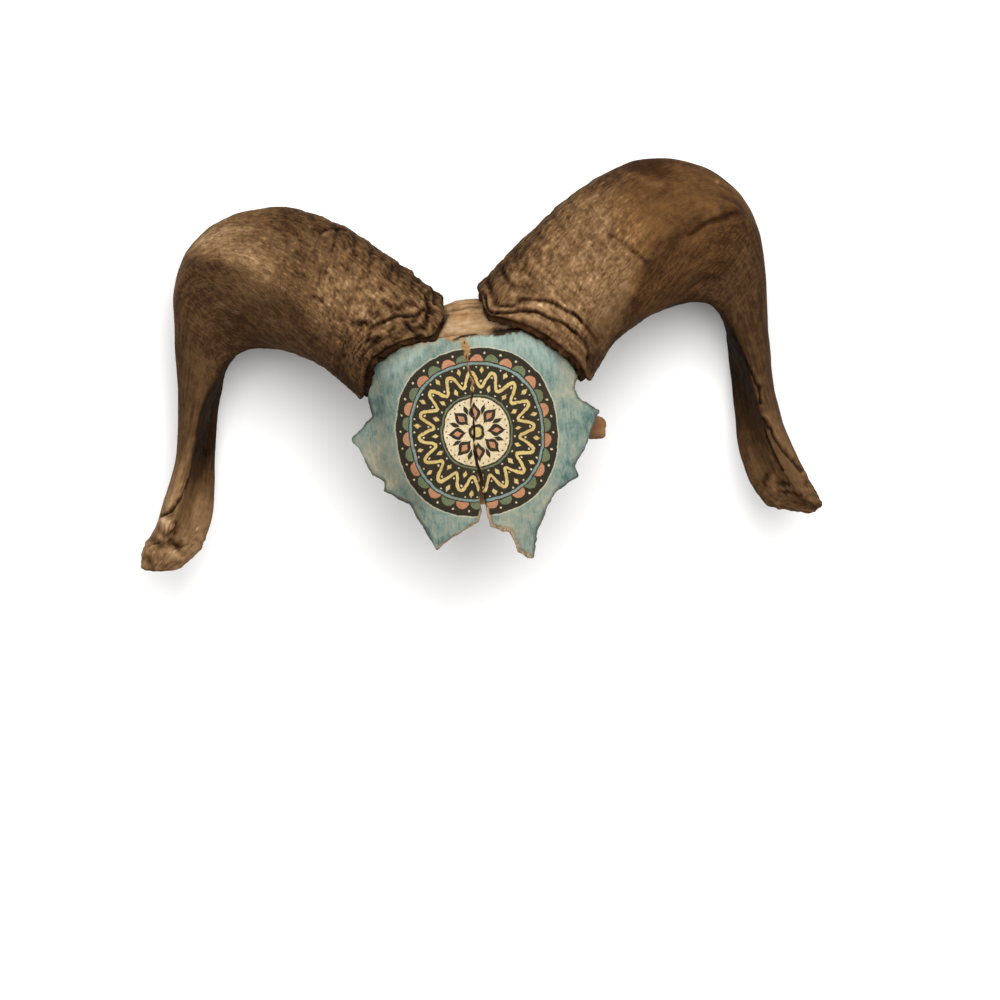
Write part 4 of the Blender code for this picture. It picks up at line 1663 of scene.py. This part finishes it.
    def field(self, x: Array, y: Array, z: Array, points: Array | None = None) -> Array:
        """The distance to the bone's surface, below 0 inside.

        Args:
            x, y, z: Drawn coordinates that broadcast together.
            points: The same points in one array, which adds the fine relief.

        Returns:
            The field: a soft union of the lumps, cut by the hollows, joined with the plate, cut by
            the crack and kept out of the horns.
        """
        ragged: Array | float = 0.0
        grit: Array | float = 0.0
        lumpy: Array | float = 0.0
        if points is not None:
            ragged = self.ragged(points)
            grit = self.noise(BoneLayer.GRIT).layers(points, 9.0, 3) * (0.35 + 1.3 * fade(78, 90, x))
            lumpy = self.noise(BoneLayer.LUMPY).layers(points, 15.0, 3) * 0.7
        (first, _), *others = self.lumps()
        body = first.distance(x, y, z)
        for form, reach in others:
            body = smooth_least(body, form.distance(x, y, z), reach)
        edge = region_distance(x, y, PLATE_OUTLINE)
        nose = line_distance(x, y, NOSE_BREAK)
        drop = self.top(x, y, edge, nose, ragged) - z
        faces = smooth_most(lumpy - drop, self.underside(x, y) - z, 0.8)
        plate = smooth_most(edge + ragged, faces * self.flattening, 1.4 + 2.6 * fade(3, 14, nose))
        body = body + grit + lumpy * fade(14, 34, drop)
        bone = smooth_most(smooth_least(body, plate, 3.0), self.shelf(x, y, drop, ragged), 0.8)
        lowered = np.where(y > self.back_from, self.back_drop, 0.0)
        bone = np.maximum(bone, (lowered + lumpy - drop) * self.flattening)
        for hollow, softness in self.hollows():
            bone = smooth_most(bone, -hollow.distance(x, y, z), softness)
        bone = np.maximum(bone, -self.crack_distance(x, y, drop, ragged * 0.6))
        return smooth_most(bone, self.horn_side(x, y, z), 0.6)

    def axes(self) -> tuple[Array, Array, Array]:
        """The cells' sides: fine across the crack and near the forehead, coarser at the back."""
        crack_span, reach = 5.0, 106
        top, fine_until, bottom = 4, -48, -134
        side = np.arange(crack_span, reach, self.cell)
        middle = np.arange(-crack_span, crack_span, self.crack_cell)
        xs = np.concatenate((-side[::-1] - self.cell, middle, side))
        ys = np.arange(-reach, reach, self.cell)
        upper = np.arange(top, fine_until, -self.cell)
        lower = np.arange(upper[-1] - self.coarse_cell, bottom, -self.coarse_cell)
        zs = np.concatenate((upper, lower))[::-1]
        return xs, ys, zs

    def surface(self) -> tuple[Array, Array, Array]:
        """Mesh the bone.

        Returns:
            Its points, faces and outward directions. The points are moved twice along the field's
            slope by its value, so that they lie on the surface.
        """
        xs, ys, zs = self.axes()
        rough = self.field(xs[:, None, None], ys[None, :, None], zs[None, None, :])
        relief_reach = 5.0
        near = np.argwhere(np.abs(rough) < relief_reach)
        close = np.stack((xs[near[:, 0]], ys[near[:, 1]], zs[near[:, 2]]), axis=1)
        rough[tuple(near.T)] = self.field(*close.T, close)
        points, quads = SurfaceNet(xs, ys, zs).mesh(rough)
        points, quads = largest_body(points, quads)
        for _ in range(2):
            value, slope = self.slope(points)
            steep = np.maximum(np.einsum("ij,ij->i", slope, slope), 0.25)
            points = points - np.clip(value / steep, -0.5, 0.5)[:, None] * slope
        _, slope = self.slope(points)
        normals = slope / np.maximum(np.linalg.norm(slope, axis=1, keepdims=True), 1e-6)
        return points, quads, normals

    def slope(self, points: Array, step: float = 0.35) -> tuple[Array, Array]:
        """The field and its slope, from differences over a small step each way."""
        value = self.field(*points.T, points)
        slope = np.empty(points.shape)
        for axis in range(3):
            move = np.zeros(3)
            move[axis] = step
            ahead, behind = points + move, points - move
            slope[:, axis] = (self.field(*ahead.T, ahead) - self.field(*behind.T, behind)) / (2 * step)
        return value, slope

    def measured(self, points: Array, normals: Array) -> BonePoints:
        """Measure the points of the mesh, whose outward directions are given, for the masks."""
        x, y, z = points.T
        edge = region_distance(x, y, PLATE_OUTLINE)
        nose = line_distance(x, y, NOSE_BREAK)
        ragged = self.ragged(points)
        rough = self.noise(BoneLayer.ROUGH).layers(points, 6.0, 3)
        fine = self.noise(BoneLayer.FINE).layers(points, 2.6, 2)
        return BonePoints(
            at=points, normals=normals, edge=edge, nose=nose, ragged=ragged, rough=rough, fine=fine,
            crack=line_distance(x, y, self.crack),
            below=self.top(x, y, edge, nose, ragged) - z,
            past_crown=y - (np.interp(x, *zip(*self.top_edge)) + rough * 1.5 + fine * 0.5),
            sides=self.at_sides(y, nose, 3, 10),
        )

    def painted(self, bone: BonePoints) -> Array:
        """Where the paint is.

        Returns:
            1 on the top of the plate and a little down its sides, less the chips, a ragged strip along
            the edge and flakes along the crack.
        """
        x, y, _ = bone.at.T
        down = 4.0 * bone.sides
        painted = fall(1.6 + down, 3.4 + down, bone.below + bone.rough * 0.9)
        painted = painted * fade(-0.05 - 0.5 * bone.sides, 0.3 - 0.4 * bone.sides, bone.up)
        painted = painted * fall(-0.5, 0.5, bone.past_crown)
        flaked = 0.5 + 2.2 * fade(48, 64, y) + 0.7 * fall(-40, -10, y) + bone.fine * 1.1
        flaked = flaked + bone.rough * 0.4
        gaps = (self.chipped(x, bone.nose, bone.ragged), 1.5 - bone.rough - bone.edge * 0.9,
                bone.crack - flaked)
        for gap in gaps:
            painted = painted * fade(-0.4, 0.4, gap)
        return np.clip(painted, 0, 1)

    def cavity(self, bone: BonePoints) -> Array:
        """How deep in a hollow each point lies, for the painted shade there.

        Returns:
            The greatest of four masks, from 0 to 1, each painted shade: little open air in front, facing
            down, inside one of the hollows, and under the roof of the plate.
        """
        x, y, z = bone.at.T
        probe = 5.0
        open_air = self.field(*(bone.at + bone.normals * probe).T)
        closed = np.clip(1 - open_air / probe, 0, 1) ** 1.3
        turned_down = 0.4 * fade(0, 1, -bone.up) * fade(20, 60, bone.below)
        roofed = fade(0, 0.7, bone.up) * fade(12, 24, bone.below) * fall(-8, -1, bone.edge)
        roofed = roofed * fall(20, 40, y)
        masks = [closed, turned_down, 0.85 * roofed]
        in_socket = fall(56, 80, np.abs(x))
        depths = (in_socket, in_socket, fade(-56, -12, y), fall(84, 97, y))
        for (hollow, _), depth in zip(self.hollows(), depths):
            masks.append(0.85 * depth * fall(0.5, 2.5, hollow.distance(x, y, z)))
        return np.maximum.reduce(masks)

    def soot(self, bone: BonePoints) -> Array:
        """Where the bone is near black: a dark seam, and painted shade.

        Returns:
            The greatest of five masks, from 0 to 1: the suture at the crown, a dark seam, and painted shade
                in the gaps beside the horns, the depth of the crack, the slit at the crown, and the wedge to
                the right of it.
        """
        x, y, z = bone.at.T
        seam = bell(line_distance(x, y, self.suture), 0.7) * (y > 74)
        hidden = fade(-4.5, -1.5, self.horn_side(x, y, z)) * fade(-60, -20, z)
        crack = fall(0.5, 1.5, bone.crack - 0.3)
        sunk = fade(0.35, 1.3, bone.below) * crack * fall(0.5, 2.0, bone.below - self.crack_depth(y))
        slit = fall(0.5, 1.5, line_distance(x, y, self.slit) + bone.fine * 0.5)
        slit = slit * (1 - 0.6 * fade(7, 10, x)) * fall(2.5, 4.5, bone.below)
        wedge = fade(-0.6, 0.4, bone.past_crown) * fade(14, 22, x + 2 * bone.rough)
        wedge = wedge * fall(72.5, 75.5, y + 1.5 * bone.rough)
        return np.clip(np.maximum.reduce((0.55 * seam, hidden, sunk, slit, wedge)), 0, 1)

    def wear(self, bone: BonePoints) -> Array:
        """How much lighter each point is: uneven near the edge, pale past the crown, and in spots; the darker
        spots along the plate's edges are painted shade.
        """
        x, y, _ = bone.at.T
        wear = (0.1 + 0.2 * bone.rough) * fall(0, 24, -bone.edge)
        wear = wear + 0.22 * fade(71, 74, y) * fall(82, 89, y)
        for path, half, amount in self.spots:
            wear += amount * bell(line_distance(x, y, path), half)
        return wear

    def masks(self, bone: BonePoints) -> dict[str, Array]:
        """What the material reads at each point, by the attribute's name."""
        x, y, _ = bone.at.T
        painted = self.painted(bone)
        broken = fade(-6, -1, bone.edge) * (1 - painted) * fall(16, 24, bone.below)
        # Painted shade: a band down the left of the forehead and along the edges at its sides; and a little
        # darker towards the nose.
        dirt = 0.42 * bell(line_distance(x, y, self.shadow), 13) + 0.12 * fall(-90, -50, y)
        dirt = dirt + 0.55 * bone.sides * fall(0.2, 3.2, -bone.edge)
        return {
            "painted": painted,
            "broken": broken * fall(50, 60, y),
            "cavity": self.cavity(bone),
            "soot": self.soot(bone),
            "wear": self.wear(bone),
            "dirt": np.clip(dirt, 0, 1),
            "stained": fade(64, 74, x) * fade(30, 45, bone.below),
            "veined": fade(55, 70, y),
            "pale": np.maximum.reduce(
                [amount * bell(line_distance(x, y, path), half) for path, half, amount in self.pale_lines]),
        }

    def build(self, material: Material) -> bpy.types.Object:
        """Make the bone's mesh with the masks that its material reads, and show it."""
        points, quads, normals = self.surface()
        mesh = surface_mesh("skull_look", DRAWING.to_model(within_box("skull", points, 1.0)), quads)
        for name, values in self.masks(self.measured(points, normals)).items():
            store(mesh, name, values)
        return show("skull", mesh, material)


@dataclass(frozen=True)
class Studio:
    """A pale floor, soft light from above the head's crown, and the photograph's camera."""

    floor_size: float = 6.0
    floor_colour: Colour = (0.92, 0.92, 0.915)
    floor_roughness: float = 0.9
    key_power: float = 48.0
    key_size: float = 1.5
    key_place: Place = (0.25, 0.62, 1.95)
    world_strength: float = 0.75
    far_end: float = 20.0

    def floor(self) -> None:
        """A plain pale floor at the height that the horns rest on."""
        half = self.floor_size / 2
        corners = [(-half, -half, 0), (half, -half, 0), (half, half, 0), (-half, half, 0)]
        mesh = bpy.data.meshes.new("floor")
        mesh.from_pydata(corners, [], [(0, 1, 2, 3)])
        shader = Shader("pale_floor")
        shader.feed(shader.surface.inputs["Base Color"], self.floor_colour)
        shader.feed(shader.surface.inputs["Roughness"], self.floor_roughness)
        mesh.materials.append(shader.material)
        floor = linked("floor", mesh)

    def lights(self) -> None:
        """One large soft light from beyond the crown, and an even pale world."""
        light = bpy.data.lights.new("key", "AREA")
        light.energy = self.key_power
        light.size = self.key_size
        key = linked("key", light)
        key.location = self.key_place
        key.rotation_euler = (-Vector(self.key_place)).to_track_quat("-Z", "Y").to_euler()
        world = bpy.data.worlds.new("studio")
        world.use_nodes = True
        background = world.node_tree.nodes["Background"]
        background.inputs["Color"].default_value = (1.0, 1.0, 1.0, 1.0)
        background.inputs["Strength"].default_value = self.world_strength
        bpy.context.scene.world = world

    def camera(self) -> None:
        """Look straight down from where the photograph was taken, with its slight roll."""
        lens = bpy.data.cameras.new("camera")
        lens.sensor_width = DRAWING.sensor
        lens.lens = DRAWING.sensor * DRAWING.eye[2] / DRAWING.seen_width
        lens.clip_end = self.far_end
        camera = linked("camera", lens)
        camera.location = DRAWING.to_model(np.array(DRAWING.eye))
        camera.rotation_euler = (0, 0, -math.radians(DRAWING.roll))
        bpy.context.scene.camera = camera
        bpy.context.scene.view_settings.view_transform = "Standard"


LEFT_BASE = BasePlane(
    outer=(-13, 104), inner=(-85, 34),
    rim=(
        (-0.96, -1.5), (-0.86, 1.5), (-0.7, 6.5), (-0.53, 10), (-0.25, 8.5), (-0.1, 5.8), (0.08, 1),
        (0.25, -5), (0.38, -12), (0.64, -12), (0.82, -9), (0.95, -4),
    ),
)
RIGHT_BASE = BasePlane(
    outer=(12, 109), inner=(92, 30),
    rim=((-0.95, -2), (-0.74, 2.6), (-0.41, 3.8), (0.09, 0.5), (0.395, -6), (0.62, -11), (0.86, -2)),
)
LEFT_HORN = HornSheath(
    name="horn_left",
    base=LEFT_BASE,
    cuts=(
        (-13, 104, -85, 34, 2, -90), (-48, 137, -106, 57, -4, -109), (-91, 172, -131, 74, -18, -136),
        (-140, 190, -154, 82, -40, -158), (-191, 180, -172, 82, -64, -171), (-211, 164, -180, 79, -76, -173),
        (-223, 138, -187, 73, -86, -173.5), (-226, 106, -193, 63, -94, -173.5),
        (-230, 49, -201, 38, -102, -173.5), (-237, 4, -207, 1, -99, -170),
        (-249, -31, -210, -37, -82, -140), (-254, -47, -214.5, -54, -71, -119),
        (-264.5, -64, -222.5, -69, -60, -101), (-265, -75, -237, -80, -54, -88),
    ),
    tones=FaceToneAndShade(
        places=(0, 0.06, 0.2, 0.34, 0.46, 0.6, 0.75, 0.88, 1),
        outer=(0.28, 0.30, 0.28, 0.29, 0.40, 0.34, 0.35, 0.53, 0.57),
        front=(0.36, 0.40, 0.43, 0.42, 0.48, 0.36, 0.42, 0.59, 0.60),
        cheek=(0.20, 0.23, 0.31, 0.29, 0.28, 0.32, 0.39, 0.61, 0.63),
        hollow=(0.16, 0.16, 0.18, 0.18, 0.18, 0.06, 0.08, 0.55, 0.65),
    ),
    front=(
        (-60, -10), (-81.1, 34), (-98, 80), (-122.6, 109.5), (-149.3, 133.3), (-173.6, 144.8),
        (-200.2, 147.6), (-280, 150), (-280, 260), (60, 260), (60, -10),
    ),
    flaky_until=(150, 215),
    warm=(),
    # Marks: dents and bumps with painted shade in the grooves, painted highlights on lips and knobs, and
    # painted lit and shaded patches where the height is 0.
    marks=(
        Mark(((-34.3, 101), (-44.2, 96.4), (-54.1, 90.9), (-65.3, 81.8)), 1.2, -1.5, -0.15),
        Mark(((-36, 104.5), (-46, 99.5), (-56, 94), (-66, 85.5)), 1.2, 0.5, 0.05),
        Mark(((-14.7, 100.8), (-16.6, 91.6), (-21.1, 84.6), (-27.1, 80.5), (-32.9, 79.3)), 1.3, -2, -0.2),
        Mark(((-31.6, 109.1), (-31.5, 100.7), (-34.9, 95.4)), 1.3, -1, -0.12),
        Mark(((-22.8, 94.2),), 6, 0.8),
        Mark(((-45.2, 87.1), (-40.3, 80), (-37.8, 77)), 0.9, -1.2, -0.16),
        Mark(((-47.5, 85), (-43, 79.5)), 0.8, 0.5, 0.1),
        Mark(((-81.3, 88.7), (-75.2, 86.6), (-68.2, 85.1)), 2.6, -1, -0.2),
        Mark(((-84, 78), (-90, 66)), 7, -0.5, -0.12),
        Mark(((-80, 38), (-78, 52), (-64, 66)), 9, 0, -0.08),
        Mark(((-13, 104), (-47, 135), (-88, 166), (-120, 175)), 14, 0, -0.14),
        Mark(((-68, 104), (-92, 124)), 18, 0, 0.12),
        Mark(((-101, 104), (-108, 92)), 9, 0, 0.1),
        Mark(((-187, 158), (-160, 150), (-145, 132)), 15, 0, 0.2),
        Mark(((-44, 92), (-56, 98)), 9, 0, -0.07),
        Mark(((-116.6, 138.1),), 11, 0, -0.06),
        Mark(((-204, 166), (-175, 179), (-142, 184)), 10, 0, 0.1),
        Mark(((-185, 162), (-166, 167)), 9, 0, 0.1),
        Mark(((-196, 149), (-178, 144)), 8, 0, -0.12),
        Mark(((-105, 162.4), (-97.9, 159.4), (-89.5, 160.7), (-80.7, 159)), 1.1, -0.8, -0.14),
        Mark(((-111, 111.5), (-107.5, 111.2), (-103.5, 107)), 1.2, -0.8, -0.14),
        Mark(((-209.5, 14.5), (-219, -4.5), (-226.9, -21.1), (-232.4, -31.8)), 4, 1, 0.12),
        Mark(((-204.5, 14), (-204.9, -0.9), (-212.5, -13.9)), 5, -0.6, -0.1),
        Mark(((-216.5, -15), (-222.4, -25.3), (-228.1, -32.2), (-233.6, -36.6),
              (-241.4, -39.6)), 1.3, -2.4, -0.3),
        Mark(((-236, -45.2),), 9, -2.2, -0.18),
        Mark(((-236, -45.2),), 5.6, 5.6, 0.3),
        Mark(((-237.5, -53.5), (-230, -52), (-228.5, -46)), 2, -1.6, -0.2),
        Mark(((-247, -56.5), (-241, -60.5)), 3.4, -1.4, -0.2),
        Mark(((-233, -59), (-227.5, -62)), 3.2, -1.2, -0.2),
        Mark(((-252.6, -69), (-250, -76)), 3, -1.3, -0.2),
        Mark(((-232.2, -75.2), (-241.3, -77.5)), 2.4, -0.9, -0.12),
        Mark(((-240.3, -66.3), (-231.5, -68.5)), 3, 1.2, 0.1),
        Mark(((-209.7, -30), (-213.5, -47.5)), 6, 0, 0.1),
        Mark(((-213.7, -51.7),), 0.9, 0.6, 0.5),
    ),
    seed=11,
    rough_base=1.0,
    collar_tone=0.1,
    collar_warm=0.4,
)
RIGHT_HORN = HornSheath(
    name="horn_right",
    base=RIGHT_BASE,
    cuts=(
        (12, 109, 92, 30, 2, -90), (54, 145, 111, 55, -4, -109), (101, 178, 141, 74, -18, -136),
        (156, 197, 167, 82, -40, -158), (208, 181, 187, 82, -64, -171), (226, 163, 194, 78, -76, -173),
        (236, 137, 199, 72, -86, -173.5), (238, 107, 203, 62, -94, -173.5),
        (236, 49, 205, 33, -102, -173.5), (237, 5, 204, -3, -99, -170),
        (244.5, -38, 203.5, -42, -82, -140), (250, -57, 208.5, -63, -70, -119),
        (255.5, -73, 219.5, -80, -61, -103), (257.5, -80, 245, -88, -60, -88),
    ),
    tones=FaceToneAndShade(
        places=(0, 0.06, 0.2, 0.28, 0.34, 0.46, 0.6, 0.75, 0.88, 1),
        outer=(0.34, 0.36, 0.31, 0.23, 0.20, 0.32, 0.27, 0.28, 0.36, 0.36),
        front=(0.42, 0.51, 0.58, 0.46, 0.33, 0.38, 0.29, 0.30, 0.38, 0.38),
        cheek=(0.22, 0.26, 0.31, 0.30, 0.31, 0.28, 0.27, 0.32, 0.39, 0.39),
        hollow=(0.16, 0.16, 0.18, 0.18, 0.18, 0.15, 0.04, 0.09, 0.34, 0.36),
    ),
    front=(
        (-60, 0), (80, 0), (97.7, 38.4), (120.5, 77.2), (142, 110.9), (174.1, 124), (216.9, 139),
        (232, 100), (300, 90), (300, 260), (-60, 260),
    ),
    flaky_until=(98, 124),
    warm=((172, 145, 62), (150, 85, 30)),
    # Marks: dents and bumps with painted shade in the grooves, painted highlights on lips and knobs, and
    # painted lit and shaded patches where the height is 0.
    marks=(
        Mark(((22.8, 100.6), (27.8, 94.5), (37.4, 88.7), (46.5, 85.9), (55.4, 81.2), (64, 74.7),
              (72.8, 69.1), (81.4, 61.6)), 1.3, -1.9, -0.18),
        Mark(((75, 67), (81.4, 61.6), (87.5, 54.4), (89.5, 44)), 2.2, -1.2, -0.1),
        Mark(((46.7, 96.2), (54.8, 93.5), (61.9, 89.9), (69, 86.4), (74.2, 82.1), (81.2, 77.6),
              (87.1, 71.4)), 1.4, -1.7, -0.16),
        Mark(((83, 76), (87.1, 71.4), (92, 64.4), (96.2, 56.1)), 2.4, -1, -0.1),
        Mark(((16.3, 101.3), (32.6, 87.4), (45.9, 80.3), (54.7, 74.8), (63.4, 68.3), (72, 61.7),
              (80.6, 54.2), (86.5, 47.1)), 2.4, 1.1, 0),
        Mark(((40, 92), (50, 89.5), (60, 85.5), (68, 80.5), (77, 74), (86, 66)), 2.6, 0.8, 0.02),
        Mark(((12, 109), (53, 143), (98, 173), (150, 188)), 13, 0, -0.16),
        Mark(((40, 120), (62, 132)), 14, 0, -0.06),
        Mark(((60, 92), (88, 112)), 18, 0, 0.05),
        Mark(((132, 98), (142, 110.9), (174.1, 132.9), (213, 142)), 5, -0.3, -0.09),
        Mark(((174.6, 128.5), (191.9, 137.1), (204.2, 139.6), (211.3, 140.9)), 1.9, -0.7, -0.12),
        Mark(((163, 147), (179, 156.5), (190, 151)), 8, 0, 0.08),
        Mark(((137, 131), (143, 140)), 7, 0, 0.04),
        Mark(((118, 183), (150, 180)), 9, 0, -0.07),
        Mark(((97, 45), (112, 70), (125, 85)), 8, 0, -0.12),
        Mark(((94, 62), (91, 42)), 8, 0, -0.12),
        Mark(((116, 134), (123, 129), (133.1, 119.3), (140, 112)), 2.2, -0.7, -0.1),
        Mark(((152, 126), (146, 117)), 3, -0.3, -0.05),
        Mark(((127.5, 179.9), (141.9, 173.9), (156.1, 166.4)), 3, 0.3, 0.08),
        Mark(((198.6, 164.9),), 1.4, 0.4, 0.3),
        Mark(((216.3, -15.2), (220.7, -26.9), (226.9, -38.8), (234.5, -49.6),
              (238.9, -55.1)), 1.3, -1.6, -0.18),
        Mark(((214.5, -13.8), (215.5, -28.9), (219.1, -41.8), (224.1, -53.5)), 1.3, -1.4, -0.16),
        Mark(((219, -12), (226, -28), (234, -42)), 3.6, 0.6, 0.1),
        Mark(((196.4, 51.3), (203.1, 36.3), (209.1, 22.2), (213.8, 9.7), (214.1, -1.5)), 1.4, -1.6, -0.2),
        Mark(((240.4, -57.7),), 1.8, 2.2, -0.08),
        Mark(((242, -64.5),), 2.2, -1.4, -0.06),
        Mark(((211.5, -56.7), (210.4, -64.2)), 1.8, -0.8, -0.08),
        Mark(((217.5, -58.2), (216.6, -66.8)), 2.8, 1.2, 0.08),
        Mark(((223.2, -63.1), (227, -65)), 1.8, -0.9, -0.1),
        Mark(((225, -70), (235, -74.6)), 1.4, -0.8, -0.1),
        Mark(((245.3, -79.2),), 3.6, 0.8, 0.05),
    ),
    seed=23,
    rough_base=0.35,
    collar_tone=0.17,
    collar_warm=0.8,
)


def main() -> None:
    logging.basicConfig(level=logging.INFO, format="%(message)s")
    studio = Studio()
    studio.camera()
    horn = HornFinish().material()
    for sheath in (LEFT_HORN, RIGHT_HORN):
        sheath.build(horn)
    Skull(bases=(LEFT_BASE, RIGHT_BASE)).build(PaintedBoneFinish().material())
    studio.floor()
    studio.lights()


if __name__ == "__main__":
    main()
